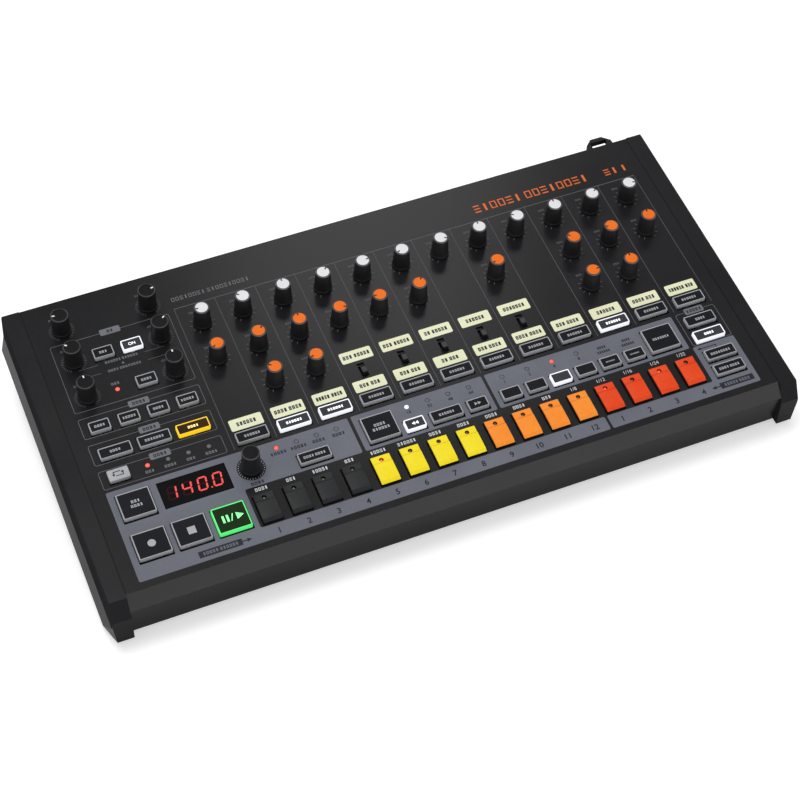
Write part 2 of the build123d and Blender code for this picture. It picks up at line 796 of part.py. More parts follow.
# ------------------------------------------------------------------ key and button switches
# Square tact switches on the control board, one under each push button and each step key.
button_places = small_buttons + wide_buttons + select_buttons + square_buttons
with BuildPart() as switches:
    with BuildSketch(panel.offset(board_top)):
        with Locations(*button_places, *key_places):
            Rectangle(switch_width, switch_width)
    extrude(amount=switch_height)
    with BuildSketch(panel.offset(board_top + switch_height)):
        with Locations(*button_places, *key_places):
            Circle(switch_stem_radius)
    extrude(amount=switch_stem_height)
save(switches.part, "key_switches")

# ------------------------------------------------------------------ lamps and display
# Domed lamps that stand through the panel and through the step keys, and the four-digit display
# with its smoked window.
lamp_foot_height = board_drop - sheet - sheet_fit
with BuildPart() as lamps:
    with BuildSketch(panel.offset(board_top)):
        with Locations(*lamp_places):
            Circle(lamp_foot_radius)
    extrude(amount=lamp_foot_height)
    with BuildSketch(panel.offset(board_top)):
        with Locations(*lamp_places):
            Circle(lamp_radius)
    extrude(amount=board_drop + lamp_rise)
    with BuildSketch(panel.offset(board_top)):
        with Locations(*key_lamp_places):
            Circle(key_lamp_radius)
    extrude(amount=board_drop + key_lamp_rise)
save(lamps.part, "lamps")

window_thickness = 1.0
with BuildPart() as display:
    with BuildSketch(panel.offset(board_top)):
        with Locations((display_x, display_v)):
            Rectangle(display_width, display_depth)
    extrude(amount=board_drop - window_thickness)
with BuildPart() as window:
    with BuildSketch(panel.offset(-window_thickness)):
        with Locations((display_x, display_v)):
            Rectangle(display_width, display_depth)
    extrude(amount=window_thickness)
    chamfer(window.faces().sort_by(Axis(panel.origin, out_of_panel))[-1].edges(), window_thickness / 4)
save(group(display.part, window.part), "display")

# ------------------------------------------------------------------ slide switches
# A narrow housing under each slot, and the levers that slide up the slope in them.
lever_gap = 0.3
lever_foot = 3.4
housing_wall = 1.4
lever_start = lever_rest_v - lever_length / 2 - lever_gap
lever_room = lever_length + lever_travel + 2 * lever_gap
housing_top = -sheet - sheet_fit
with BuildPart() as slide_housings:
    with BuildSketch(panel.offset(board_top)):
        with Locations(*[(x, lever_start + lever_room / 2) for x, v in slot_places]):
            Rectangle(lever_width + 2 * (lever_gap + housing_wall), lever_room + 2 * housing_wall)
    extrude(amount=housing_top - board_top)
    with BuildSketch(panel.offset(housing_top)):
        with Locations(*[(x, lever_start + lever_room / 2) for x, v in slot_places]):
            Rectangle(lever_width + 2 * lever_gap, lever_room)
    extrude(amount=-lever_foot - lever_gap, mode=Mode.SUBTRACT)
with BuildPart() as levers:
    with BuildSketch(panel.offset(housing_top - lever_foot)):
        with Locations(*[(x, lever_rest_v) for x, v in slot_places]):
            Rectangle(lever_width, lever_length)
    extrude(amount=lever_foot - housing_top + lever_rise)
    tops = levers.faces().group_by(Axis(panel.origin, out_of_panel))[-1]
    chamfer(tops.edges(), lever_width / 8)
save(levers.part, "slide_levers")

# ------------------------------------------------------------------ power rocker
# A bistable rocker behind the rear panel's right end, pivoted on an upright pin in its frame.
rocker_y = rear_outer_y - rocker_depth / 2
rocker_half = rocker_length / 2
frame_half_x = rocker_half + rocker_gap + rocker_frame
frame_half_z = rocker_width / 2 + rocker_gap + rocker_wall
rocker_angle = math.radians(rocker_tilt)
turned = Plane(
    origin=(rocker_x, rocker_y, rocker_z - rocker_width / 2),
    x_dir=(math.cos(rocker_angle), -math.sin(rocker_angle), 0),
    z_dir=(0, 0, 1),
)
with BuildPart() as rocker:
    with BuildSketch(turned):
        with BuildLine():
            Polyline((-rocker_half, rocker_depth), (-rocker_half, 0), (0, -rocker_depth / 2))
            Polyline((0, -rocker_depth / 2), (rocker_half, 0), (rocker_half, rocker_depth))
            ThreePointArc(
                (rocker_half, rocker_depth), (0, rocker_depth - rocker_dish), (-rocker_half, rocker_depth)
            )
        make_face()
    extrude(amount=rocker_width)
    rocker_pin = Plane(
        origin=(rocker_x, rocker_y, rocker_z - frame_half_z + rocker_gap), z_dir=(0, 0, 1)
    )
    with BuildSketch(rocker_pin):
        Circle(key_pin_radius)
    extrude(amount=2 * (frame_half_z - rocker_gap))
save(rocker.part, "power_rocker")

with BuildPart() as rocker_housing:
    with BuildSketch(mouth_plane.offset(-rocker_body_depth)):
        with Locations((-rocker_x, rocker_z)):
            Rectangle(2 * frame_half_x, 2 * frame_half_z)
    extrude(amount=rocker_body_depth)
    with BuildSketch(mouth_plane):
        with Locations((-rocker_x, rocker_z)):
            Rectangle(2 * (frame_half_x + rocker_flange), 2 * (frame_half_z + rocker_flange))
    extrude(amount=rocker_flange)
    with BuildSketch(mouth_plane.offset(-rocker_body_depth + rocker_wall)):
        with Locations((-rocker_x, rocker_z)):
            Rectangle(2 * (rocker_half + 2 * rocker_gap), rocker_width + 2 * rocker_gap)
    extrude(amount=rocker_body_depth + rocker_flange, mode=Mode.SUBTRACT)
    with BuildSketch(rocker_pin.offset(-rocker_wall)):
        Circle(key_pin_radius + 1.5 * hole_fit)
    extrude(amount=2 * (frame_half_z + rocker_wall), mode=Mode.SUBTRACT)
save(group(slide_housings.part, rocker_housing.part), "switch_housings")

# ------------------------------------------------------------------ audio jacks
# Board-mounted 6.35 mm jacks with threaded bushes that stand out of the rear panel.
with BuildPart() as jacks:
    with BuildSketch(mouth_plane.offset(-rear_sheet - jack_length)):
        with Locations(*[(-x, jack_z) for x in jack_xs]):
            Rectangle(jack_width, jack_height)
    extrude(amount=jack_length)
    with BuildSketch(mouth_plane.offset(-rear_sheet - jack_length)):
        with Locations(*[(-x, jack_z) for x in jack_xs]):
            Circle(jack_bush_radius)
    extrude(amount=rear_sheet + jack_length + jack_bush_out)
    with BuildSketch(mouth_plane.offset(jack_bush_out)):
        with Locations(*[(-x, jack_z) for x in jack_xs]):
            Circle(jack_bore_radius)
    extrude(amount=-jack_bore_length, mode=Mode.SUBTRACT)
save(jacks.part, "audio_jacks")

# ------------------------------------------------------------------ data and power sockets
# Small 3.5 mm jacks, five-pin round data sockets, a square-mouthed USB socket and the power inlet.
with BuildPart() as minis:
    with BuildSketch(mouth_plane.offset(-rear_sheet - mini_length)):
        with Locations(*[(-x, mini_z) for x in mini_xs]):
            Rectangle(mini_width, mini_width)
    extrude(amount=mini_length)
    with BuildSketch(mouth_plane.offset(-rear_sheet - mini_length)):
        with Locations(*[(-x, mini_z) for x in mini_xs]):
            Circle(mini_bush_radius)
    extrude(amount=rear_sheet + mini_length + rocker_flange)
    with BuildSketch(mouth_plane.offset(rocker_flange)):
        with Locations(*[(-x, mini_z) for x in mini_xs]):
            Circle(mini_bore_radius)
    extrude(amount=-mini_length, mode=Mode.SUBTRACT)
pin_span = 180 / (din_pins - 1)
with BuildPart() as dins:
    with BuildSketch(mouth_plane.offset(-rear_sheet - din_length)):
        with Locations(*[(-x, din_z) for x in din_xs]):
            Rectangle(din_width, din_width)
    extrude(amount=din_length)
    with BuildSketch(mouth_plane.offset(-rear_sheet - din_length)):
        with Locations(*[(-x, din_z) for x in din_xs]):
            Circle(din_face_radius)
    extrude(amount=rear_sheet + din_length)
    with BuildSketch(mouth_plane):
        with Locations(*[(-x, din_z) for x in din_xs]):
            Circle(din_slot_radius)
    extrude(amount=-din_slot_length, mode=Mode.SUBTRACT)
with BuildPart() as din_cores:
    with BuildSketch(mouth_plane.offset(-din_slot_length)):
        with Locations(*[(-x, din_z) for x in din_xs]):
            Circle(din_core_radius)
            with PolarLocations(din_pin_circle, din_pins, 180, 180 + pin_span * din_pins):
                Circle(din_pin_radius, mode=Mode.SUBTRACT)
    extrude(amount=din_slot_length)
with BuildPart() as usb:
    with BuildSketch(mouth_plane.offset(-usb_length)):
        with Locations((-usb_x, usb_z)):
            Rectangle(usb_width, usb_height)
    extrude(amount=usb_length)
    with BuildSketch(mouth_plane):
        with Locations((-usb_x, usb_z)):
            Rectangle(usb_mouth_width, usb_mouth_height)
            Rectangle(usb_tongue_width, usb_tongue_height, mode=Mode.SUBTRACT)
    extrude(amount=-usb_mouth_length, mode=Mode.SUBTRACT)
with BuildPart() as power:
    with BuildSketch(mouth_plane.offset(-power_length)):
        with Locations((-power_x, power_z)):
            Rectangle(power_width, power_height)
    extrude(amount=power_length)
    with BuildSketch(mouth_plane):
        with Locations((-power_x, power_z)):
            Circle(power_bore_radius)
    extrude(amount=-power_bore_length, mode=Mode.SUBTRACT)
with BuildPart() as power_pin:
    with BuildSketch(mouth_plane.offset(-power_bore_length)):
        with Locations((-power_x, power_z)):
            Circle(power_pin_radius)
    extrude(amount=power_bore_length)
save(
    group(minis.part, dins.part, din_cores.part, usb.part, power.part, power_pin.part), "data_sockets"
)

# ------------------------------------------------------------------ cable hook
# A flat six-sided loop behind the rear panel that the supply cable is tucked through, held by a
# catch inside the panel.
ring_length = hook_reach - hook_neck
ring_middle = hook_neck + ring_length / 2
hook_plane = Plane(origin=(hook_x, rear_outer_y, hook_z - hook_thickness / 2), z_dir=(0, 0, 1))
with BuildPart() as cable_hook:
    with BuildSketch(hook_plane):
        with Locations((0, ring_middle)):
            Rectangle(hook_width, ring_length)
    extrude(amount=hook_thickness)
    chamfer(cable_hook.edges().filter_by(Axis.Z), hook_chamfer)
    with BuildSketch(hook_plane):
        with Locations((0, (hook_neck + hook_ring) / 2 - rear_sheet / 2)):
            Rectangle(hook_neck_width, hook_neck + hook_ring + rear_sheet)
        with Locations((0, -rear_sheet - hook_catch / 2)):
            Rectangle(hook_catch_width, hook_catch)
    extrude(amount=hook_thickness)
    with BuildSketch(hook_plane):
        with Locations((0, ring_middle)):
            Rectangle(hook_width - 2 * hook_ring, ring_length - 2 * hook_ring)
    extrude(amount=hook_thickness, mode=Mode.SUBTRACT)
save(cable_hook.part, "cable_hook")

# ------------------------------------------------------------------ fasteners
# Pan-head screws through the boards, the cheeks, the pan's rim and the rear panel, and the round
# nuts on the audio jacks.


def screw_set(plane, places, grip):
    """Screws whose heads stand on a plane, with their shanks going in behind it."""
    with BuildPart() as screws:
        with BuildSketch(plane):
            with Locations(*places):
                Circle(screw_head_radius)
        extrude(amount=screw_head)
        with BuildSketch(plane):
            with Locations(*places):
                Circle(screw_radius)
        extrude(amount=-grip)
    return screws.part


under_board = Plane(
    origin=panel.from_local_coords((0, 0, board_top - board)), x_dir=(-1, 0, 0), z_dir=(0, rise, -run)
)
under_rim = Plane(
    origin=panel.from_local_coords((0, 0, rim_top - pan_sheet)), x_dir=(-1, 0, 0), z_dir=(0, rise, -run)
)
left_flange = side.offset(-half_width + sheet)
right_flange = Plane(
    origin=(half_width - sheet, bend_y, front_height), x_dir=(0, -run, -rise), z_dir=(-1, 0, 0)
)
rear_lip_plane = mouth_plane.offset(sheet + sheet_fit / 3)
with BuildPart() as jack_nuts:
    with BuildSketch(mouth_plane):
        with Locations(*[(-x, jack_z) for x in jack_xs]):
            Circle(jack_nut_radius)
            Circle(jack_bush_radius, mode=Mode.SUBTRACT)
    extrude(amount=jack_nut)
fasteners = group(
    screw_set(under_board, [(-x, v) for x, v in standoff_places], board + screw_grip),
    screw_set(under_rim, [(-x, v) for x, v in rim_screws], pan_sheet + sheet),
    screw_set(Plane.XY.offset(main_board_top), main_standoffs, board + screw_grip),
    screw_set(left_flange, [(v, cheek_screw_n) for v in side_screws_v], sheet + screw_grip),
    screw_set(right_flange, [(-v, cheek_screw_n) for v in side_screws_v], sheet + screw_grip),
    screw_set(rear_lip_plane, [(-x, rear_screw_z) for x in rear_screw_xs], sheet + screw_grip),
    screw_set(mouth_plane, [(-x, pan_screw_z) for x in pan_screw_xs], rear_sheet + pan_sheet),
    jack_nuts.part,
)
save(fasteners, "fasteners")

# ------------------------------------------------------------------ dials
# Each dial is a tapered knob with a disc set in its top, on a flatted shaft that turns in its pot.


def make_dial(place, height, top_radius, foot_radius, cap_radius):
    """A dial on its place: the knob, the disc in its top and the shaft, with the pointer forward."""
    out = place.z_dir
    middle = Axis(place.origin, out)
    section = Plane(origin=place.origin, x_dir=place.x_dir, z_dir=-place.y_dir)
    with BuildPart() as knob:
        with BuildSketch(section):
            with BuildLine():
                Polyline(
                    (0, dial_gap),
                    (foot_radius + dial_skirt, dial_gap),
                    (foot_radius + dial_skirt, 2 * dial_gap),
                    (foot_radius, 4 * dial_gap),
                    (top_radius, height - dial_edge),
                    (top_radius - dial_edge, height),
                    (0, height),
                    close=True,
                )
            make_face()
        revolve(axis=middle)
        with BuildSketch(place):
            Circle(dial_socket_radius)
        extrude(amount=dial_gap + dial_socket_height, mode=Mode.SUBTRACT)
        with BuildSketch(place):
            Circle(shaft_radius)
            with Locations((0, -shaft_radius)):
                Rectangle(2 * shaft_radius, 2 * (shaft_radius - shaft_flat), mode=Mode.SUBTRACT)
        extrude(amount=shaft_height, mode=Mode.SUBTRACT)
        with BuildSketch(place.offset(height - dial_cap_sink)):
            Circle(cap_radius)
        extrude(amount=dial_cap_sink, mode=Mode.SUBTRACT)
    with BuildPart() as cap:
        with BuildSketch(place.offset(height - dial_cap_sink)):
            Circle(cap_radius)
        extrude(amount=dial_cap_sink)
        with BuildSketch(place.offset(height - dial_cap_sink / 2)):
            with Locations((0, cap_radius - pointer_length / 2)):
                Rectangle(pointer_width, pointer_length)
        extrude(amount=dial_cap_sink, mode=Mode.SUBTRACT)
    with BuildPart() as shaft:
        with BuildSketch(place):
            Circle(shaft_radius)
            with Locations((0, -shaft_radius)):
                Rectangle(2 * shaft_radius, 2 * (shaft_radius - shaft_flat), mode=Mode.SUBTRACT)
        extrude(amount=shaft_height)
        with BuildSketch(place):
            Circle(shaft_radius)
        extrude(amount=board_top + pot_height / 4 + hole_fit)
    return group(knob.part, cap.part, shaft.part)


for dials, kind in ((level_dials, "level_knob"), (tone_dials, "tone_knob"), (extra_dials, "decay_knob")):
    for number, (x, v, angle) in enumerate(dials, 1):
        dial = make_dial(
            panel_place(x, v, angle), dial_height, dial_top_radius, dial_foot_radius, dial_cap_radius
        )
        save(dial, f"{kind}_{number:02d}")
black_cap_radius = black_dial_top_radius - 2 * dial_edge
for number, (x, v, angle) in enumerate(black_dials, 1):
    dial = make_dial(
        panel_place(x, v, angle),
        black_dial_height,
        black_dial_top_radius,
        black_dial_foot_radius,
        black_cap_radius,
    )
    save(dial, f"black_knob_{number}")
data_dial = make_dial(
    panel_place(*encoder_place),
    encoder_dial_height,
    black_dial_top_radius,
    black_dial_foot_radius,
    black_cap_radius,
)
save(data_dial, "data_knob")

# ------------------------------------------------------------------ push buttons
# Moulded caps with a pale frame round a sunk dark lens. A rim under the panel stops each cap, and a
# plunger below it presses the switch.
plunger_bottom = board_top + switch_height + switch_stem_height + button_travel + sheet_fit


def make_buttons(places, lens_width, lens_depth):
    """Button caps of one size at rest."""
    frame = button_frame + button_front_frame
    shift = (button_frame - button_front_frame) / 2
    with BuildPart() as caps:
        for x, v in places:
            base = panel.offset(-sheet - sheet_fit)
            with BuildSketch(side.offset(x - lens_width / 2 - button_frame)):
                with BuildLine():
                    rear = v + lens_depth / 2 + button_frame
                    front = v - lens_depth / 2 - button_front_frame
                    Polyline(
                        (rear, -sheet - sheet_fit),
                        (rear, button_height),
                        (front, button_height),
                        (front - button_flare, 0),
                        (front - button_flare, -sheet - sheet_fit),
                        close=True,
                    )
                make_face()
            extrude(amount=lens_width + 2 * button_frame)
            with BuildSketch(base):
                with Locations((x, v + (button_frame - button_front_frame - button_flare) / 2)):
                    Rectangle(
                        lens_width + 2 * button_frame + 2 * button_rim,
                        lens_depth + frame + button_flare + 2 * button_rim,
                    )
            extrude(amount=-button_rim_height)
            with BuildSketch(base):
                with Locations((x, v)):
                    Rectangle(plunger_width, plunger_width)
            extrude(amount=plunger_bottom + sheet + sheet_fit)
            with BuildSketch(panel.offset(button_height)):
                with Locations((x, v)):
                    Rectangle(lens_width, lens_depth)
            extrude(amount=-button_lens_sink, mode=Mode.SUBTRACT)
    return caps.part


save(make_buttons(select_buttons, button_wide, button_lens_depth), "select_buttons")
save(make_buttons(square_buttons, button_wide, button_square_depth), "square_buttons")
save(
    group(
        make_buttons(small_buttons, button_small, button_lens_depth),
        make_buttons(wide_buttons, button_wide, button_lens_depth),
    ),
    "function_buttons",
)

# ------------------------------------------------------------------ step keys
# Hollow key caps in four colours. Each pivots on a pin behind its rear edge, has a hole for its lamp
# and a post that presses its switch.
key_section = [
    (key_front_v, -key_drop),
    (key_front_v, key_height - key_bevel_drop),
    (key_front_v + key_bevel_run, key_height),
    (key_rear_v, key_height),
    (key_rear_v, -sheet - 2 * sheet_fit),
    (key_pin_v + key_pin_radius, -sheet - 2 * sheet_fit),
    (key_pin_v + key_pin_radius, -key_drop),
]
key_hollow = [
    (key_front_v + key_wall, -key_drop),
    (key_front_v + key_wall, key_height - key_bevel_drop - key_wall),
    (key_front_v + key_bevel_run + key_wall, key_height - key_wall),
    (key_rear_v - key_wall, key_height - key_wall),
    (key_rear_v - key_wall, -key_drop),
]
key_switch_v = key_front_v + key_length / 2
key_press = (key_pin_v - key_switch_v) * math.sin(math.radians(key_travel_angle))
post_bottom = board_top + switch_height + switch_stem_height + key_press + sheet_fit


def make_keys(xs):
    """The step keys of one colour at rest."""
    with BuildPart() as keys:
        for x in xs:
            with BuildSketch(side.offset(x - key_width / 2)):
                with BuildLine():
                    Polyline(*key_section, close=True)
                make_face()
            extrude(amount=key_width)
            with BuildSketch(side.offset(x - key_width / 2 + key_wall)):
                with BuildLine():
                    Polyline(*key_hollow, close=True)
                make_face()
            extrude(amount=key_width - 2 * key_wall, mode=Mode.SUBTRACT)
            with BuildSketch(panel.offset(post_bottom)):
                with Locations((x, key_switch_v)):
                    Rectangle(plunger_width, plunger_width)
            extrude(amount=key_height - key_wall / 2 - post_bottom)
            with BuildSketch(panel.offset(key_height)):
                with Locations((x, key_rear_v - key_groove_back)):
                    Rectangle(key_width, key_groove)
            extrude(amount=-key_groove, mode=Mode.SUBTRACT)
            with BuildSketch(panel.offset(key_height)):
                with Locations((x, key_rear_v - key_lamp_back)):
                    Circle(key_lamp_hole)
            extrude(amount=-2 * key_wall, mode=Mode.SUBTRACT)
            with BuildSketch(side.offset(x - key_width / 2 - key_pin_out)):
                with Locations((key_pin_v, -key_pin_drop)):
                    Circle(key_pin_radius)
            extrude(amount=key_width + 2 * key_pin_out)
    return keys.part


for first, colour in enumerate(("black", "yellow", "orange", "red")):
    xs = [x for x, v in key_places[first * keys_in_colour:(first + 1) * keys_in_colour]]
    save(make_keys(xs), f"{colour}_keys")
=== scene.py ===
import json
import math

import bmesh
import bpy
from mathutils import Matrix, Vector


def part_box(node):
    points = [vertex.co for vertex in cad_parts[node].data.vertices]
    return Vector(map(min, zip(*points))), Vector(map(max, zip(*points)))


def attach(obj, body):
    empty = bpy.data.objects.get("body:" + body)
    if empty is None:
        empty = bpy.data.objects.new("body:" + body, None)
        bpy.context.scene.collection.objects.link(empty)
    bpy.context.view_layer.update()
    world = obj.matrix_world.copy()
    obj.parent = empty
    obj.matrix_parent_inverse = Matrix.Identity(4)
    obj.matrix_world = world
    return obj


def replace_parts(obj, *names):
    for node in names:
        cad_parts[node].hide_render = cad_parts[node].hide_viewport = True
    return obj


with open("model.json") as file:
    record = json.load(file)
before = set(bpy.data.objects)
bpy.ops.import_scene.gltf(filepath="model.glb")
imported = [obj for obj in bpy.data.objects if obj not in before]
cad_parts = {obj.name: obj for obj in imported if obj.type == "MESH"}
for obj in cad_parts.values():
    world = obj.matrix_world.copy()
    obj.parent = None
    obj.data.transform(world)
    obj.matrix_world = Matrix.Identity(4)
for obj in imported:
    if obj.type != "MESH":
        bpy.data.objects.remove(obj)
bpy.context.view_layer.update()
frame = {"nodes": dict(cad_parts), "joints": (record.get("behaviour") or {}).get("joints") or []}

# ------------------------------------------------------------------ top panel
# The lid is one sheet of 1.2 mm steel, folded down at the front into a sloping nose and an upright lip.
# It is powder coated in satin charcoal, a baked polyester with a fine orange peel.
first_column_x = -117.9
level_row_v = 184.9
dial_turning_height = 8.8
coat_peel = 1.4
coat_cloud = 90.0
scene = bpy.context.scene

# What stands on the panel is drawn in mm: x across, v up the slope from its front edge, and height.
in_mm = Matrix.Scale(0.001, 4)
level_joint = next(joint for joint in frame["joints"] if joint["child"] == "level_knob_01")
panel_tilt = math.atan2(-level_joint["axis"][1], level_joint["axis"][2])
panel_start = Matrix.Translation((-first_column_x, -level_row_v, -dial_turning_height))
panel_turn = Matrix.Rotation(panel_tilt, 4, "X")
on_panel = Matrix.Translation(level_joint["pos_m"]) @ panel_turn @ in_mm @ panel_start
off_panel = on_panel.inverted()


def colour(code):
    """An sRGB hex value as the linear colour that a socket takes."""
    channels = [int(code[i : i + 2], 16) / 255 for i in (1, 3, 5)]
    linear = [c / 12.92 if c <= 0.04045 else ((c + 0.055) / 1.055) ** 2.4 for c in channels]
    return (*linear, 1.0)


def add(tree, kind, inputs, **settings):
    """Adds a node. An input is a plain value, or what it links from: a socket, a node or a list of nodes."""
    made = tree.nodes.new(kind)
    for name, value in settings.items():
        setattr(made, name, value)
    for name, value in inputs.items():
        for source in value if isinstance(value, list) else [value]:
            if isinstance(source, bpy.types.Node):
                source = source.outputs[0]
            if isinstance(source, bpy.types.NodeSocket):
                tree.links.new(source, made.inputs[name])
            else:
                made.inputs[name].default_value = source
    return made


def finish(name, dark, light, grain, cloud, depth, rough, specular=0.5, **sockets):
    """A surface of two near colours: grain, clouds and depth of relief in mm, and a range of roughness."""
    made = bpy.data.materials.new(name)
    made.use_nodes = True
    tree = made.node_tree
    place = add(tree, "ShaderNodeTexCoord", {}).outputs["Object"]
    soft_noise = {"Vector": place, "Scale": 1000 / cloud, "Detail": 4.0, "Roughness": 0.6}
    fine_noise = {"Vector": place, "Scale": 1000 / grain, "Detail": 2.0, "Roughness": 0.5}
    clouds = add(tree, "ShaderNodeTexNoise", soft_noise)
    specks = add(tree, "ShaderNodeTexNoise", fine_noise)
    both = add(tree, "ShaderNodeMath", {0: specks, 1: 0.45, 2: clouds}, operation="MULTIPLY_ADD")
    shade_span = {"Value": both, "From Min": 0.45, "From Max": 1.0}
    gloss_span = {"Value": both, "From Min": 0.4, "From Max": 1.1, "To Min": rough[0], "To Max": rough[1]}
    shade = add(tree, "ShaderNodeMapRange", shade_span, interpolation_type="SMOOTHSTEP")
    gloss = add(tree, "ShaderNodeMapRange", gloss_span)
    mixed = add(tree, "ShaderNodeMix", {"Factor": shade, 6: colour(dark), 7: colour(light)}, data_type="RGBA")
    relief = add(tree, "ShaderNodeBump", {"Strength": 1.0, "Distance": depth / 1000, "Height": specks})
    shader = tree.nodes["Principled BSDF"].inputs
    tree.links.new(mixed.outputs[2], shader["Base Color"])
    tree.links.new(gloss.outputs[0], shader["Roughness"])
    tree.links.new(relief.outputs[0], shader["Normal"])
    shader["Specular IOR Level"].default_value = specular
    for name, value in sockets.items():
        shader[name.replace("_", " ")].default_value = value
    return made


def cover(node, surface):
    """Gives a CAD piece its finish."""
    for place in frame["nodes"][node].material_slots:
        place.material = surface


# Powder coat: satin, a little lighter and duller in clouds where hands have polished it unevenly.
coat_tones = ("#19191B", "#202022")
powder_coat = finish("powder_coated_steel", *coat_tones, coat_peel, coat_cloud, 0.006, (0.2, 0.25), 0.1)
cover("top_panel", powder_coat)

# ------------------------------------------------------------------ end cheeks
# Each end is closed by a hollow cheek moulded in charcoal ABS and screwed on from inside.
# A spark-eroded mould gives it a fine even grain, close to the satin of the coated steel.
cheek_plastic = finish("moulded_abs_textured", "#1B1B1D", "#212123", 0.9, 60.0, 0.008, (0.26, 0.34), 0.08)
# Its upright outer wall is left matt from the mould, so that it takes no mirror image of the floor.
cheek_wall = finish("moulded_abs_matt", "#2A2A2C", "#313133", 0.9, 60.0, 0.02, (0.7, 0.85), 0.0)
wall_upright = 0.995


def share_out(mesh, surfaces, part_of):
    """Gives the faces of a mesh their own finishes. part_of takes a face and returns a finish's number."""
    mesh.materials.clear()
    for surface in surfaces:
        mesh.materials.append(surface)
    for face in mesh.polygons:
        face.material_index = part_of(face)


for cheek in ("left_cheek", "right_cheek"):
    cheek_mesh = frame["nodes"][cheek].data
    share_out(cheek_mesh, [cheek_plastic, cheek_wall], lambda face: int(abs(face.normal.x) > wall_upright))

# ------------------------------------------------------------------ screen printing
# Inks are screen printed on the coated panel and baked: blue-grey areas round the transport and timing
# controls, thin grey borders, cream name plates, dark and pale marks. Each film stands a hair proud.
ink_film = 0.05


def arc_points(x, v, radius, start, end, steps):
    """Points on an arc, with angles in degrees from +x."""
    turns = [math.radians(start + (end - start) * i / steps) for i in range(steps + 1)]
    return [(x + radius * math.cos(a), v + radius * math.sin(a)) for a in turns]


def soft(corners, radius, steps=4):
    """A closed outline with every corner rounded."""
    outline = []
    for i, corner in enumerate(corners):
        here = Vector(corner)
        before = (Vector(corners[i - 1]) - here).normalized()
        after = (Vector(corners[(i + 1) % len(corners)]) - here).normalized()
        half = before.angle(after) / 2
        reach = radius / math.tan(half)
        centre = here + (before + after).normalized() * (radius / math.sin(half))
        first = (here + before * reach - centre).normalized()
        last = (here + after * reach - centre).normalized()
        outline += [tuple(centre + first.slerp(last, k / steps) * radius) for k in range(steps + 1)]
    return outline


def box(x0, v0, x1, v1, radius=0.0):
    """A rectangle, with round corners if it has a radius."""
    corners = [(x0, v0), (x1, v0), (x1, v1), (x0, v1)]
    return soft(corners, radius) if radius else corners


def plate(x, v, width, depth, radius=0.0):
    """A rectangle about its middle."""
    return box(x - width / 2, v - depth / 2, x + width / 2, v + depth / 2, radius)


def disc(x, v, radius, steps=20):
    """A round dot."""
    return arc_points(x, v, radius, 0, 360 - 360 / steps, steps - 1)


def moved(outline, x, v):
    """An outline drawn about zero, put in its place."""
    return [(x + px, v + pv) for px, pv in outline]


def flat_shape(outlines, thickness):
    """A thin solid of closed outlines in mm, where an outline inside another is a hole."""
    shape = bpy.data.curves.new("outlines", "CURVE")
    shape.dimensions = "2D"
    shape.fill_mode = "BOTH"
    shape.extrude = thickness / 2
    for outline in outlines:
        spline = shape.splines.new("POLY")
        spline.points.add(len(outline) - 1)
        for point, (x, v) in zip(spline.points, outline):
            point.co = (x, v, 0, 1)
        spline.use_cyclic_u = True
    carrier = bpy.data.objects.new("outlines", shape)
    mesh = bpy.data.meshes.new_from_object(carrier)
    bpy.data.objects.remove(carrier)
    bpy.data.curves.remove(shape)
    return mesh


def settle(mesh, edge_angle=35):
    """Merges doubled points, turns faces outwards and smooths all but the sharp edges."""
    work = bmesh.new()
    work.from_mesh(mesh)
    bmesh.ops.remove_doubles(work, verts=work.verts, dist=1e-3)
    bmesh.ops.recalc_face_normals(work, faces=work.faces)
    work.to_mesh(mesh)
    work.free()
    mesh.shade_smooth()
    mesh.set_sharp_from_angle(angle=math.radians(edge_angle))


def lay(name, mesh, surface, body, place=on_panel):
    """Puts a mesh made in mm where it belongs, as a piece that rides on a body."""
    settle(mesh)
    mesh.transform(place)
    mesh.materials.clear()
    mesh.materials.append(surface)
    piece = bpy.data.objects.new(name, mesh)
    scene.collection.objects.link(piece)
    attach(piece, body)
    return piece


def ink(name, outlines, surface, low=0.0, high=ink_film, body="case", place=on_panel):
    """Prints outlines between two heights above the sheet."""
    film = flat_shape(outlines, high - low)
    film.transform(Matrix.Translation((0, 0, (low + high) / 2)))
    return lay(name, film, surface, body, place)


def print_ink(name, dark, light):
    """A baked two-part ink: matt, with the peel of the coat showing through."""
    return finish(name, dark, light, coat_peel, 40.0, 0.01, (0.4, 0.5), 0.08)


grey_ink = print_ink("screen_ink_blue_grey", "#646770", "#6D7079")
line_ink = print_ink("screen_ink_line_grey", "#626265", "#6C6C6F")
tag_ink = print_ink("screen_ink_tag_grey", "#6B6D73", "#75777D")
cream_ink = print_ink("screen_ink_cream", "#E5E7C2", "#EBECCB")
dark_ink = print_ink("screen_ink_navy_black", "#25262E", "#2C2D36")
pale_ink = print_ink("screen_ink_pale", "#C9CACD", "#D5D6D8")
soft_ink = print_ink("screen_ink_soft_grey", "#6A6B6E", "#747578")
faint_ink = print_ink("screen_ink_faint_grey", "#55565A", "#5F6064")
orange_ink = print_ink("screen_ink_orange", "#D9652B", "#E27338")

# The joint between the sheet and each cheek is a shadow gap. Its shade is painted as a thin black strip
# printed along the sheet.
seam_x = 232.6
seam_width = 0.85
seam_rear = 236.8
seam_film = 0.03
seams = [box(x, 0.0, x + seam_width, seam_rear) for x in (-seam_x, seam_x - seam_width)]
ink("joint_painted_shadow_lines", seams, print_ink("joint_painted_shadow_black", "#0A0A0B", "#0E0E0F"), 0.0, seam_film)

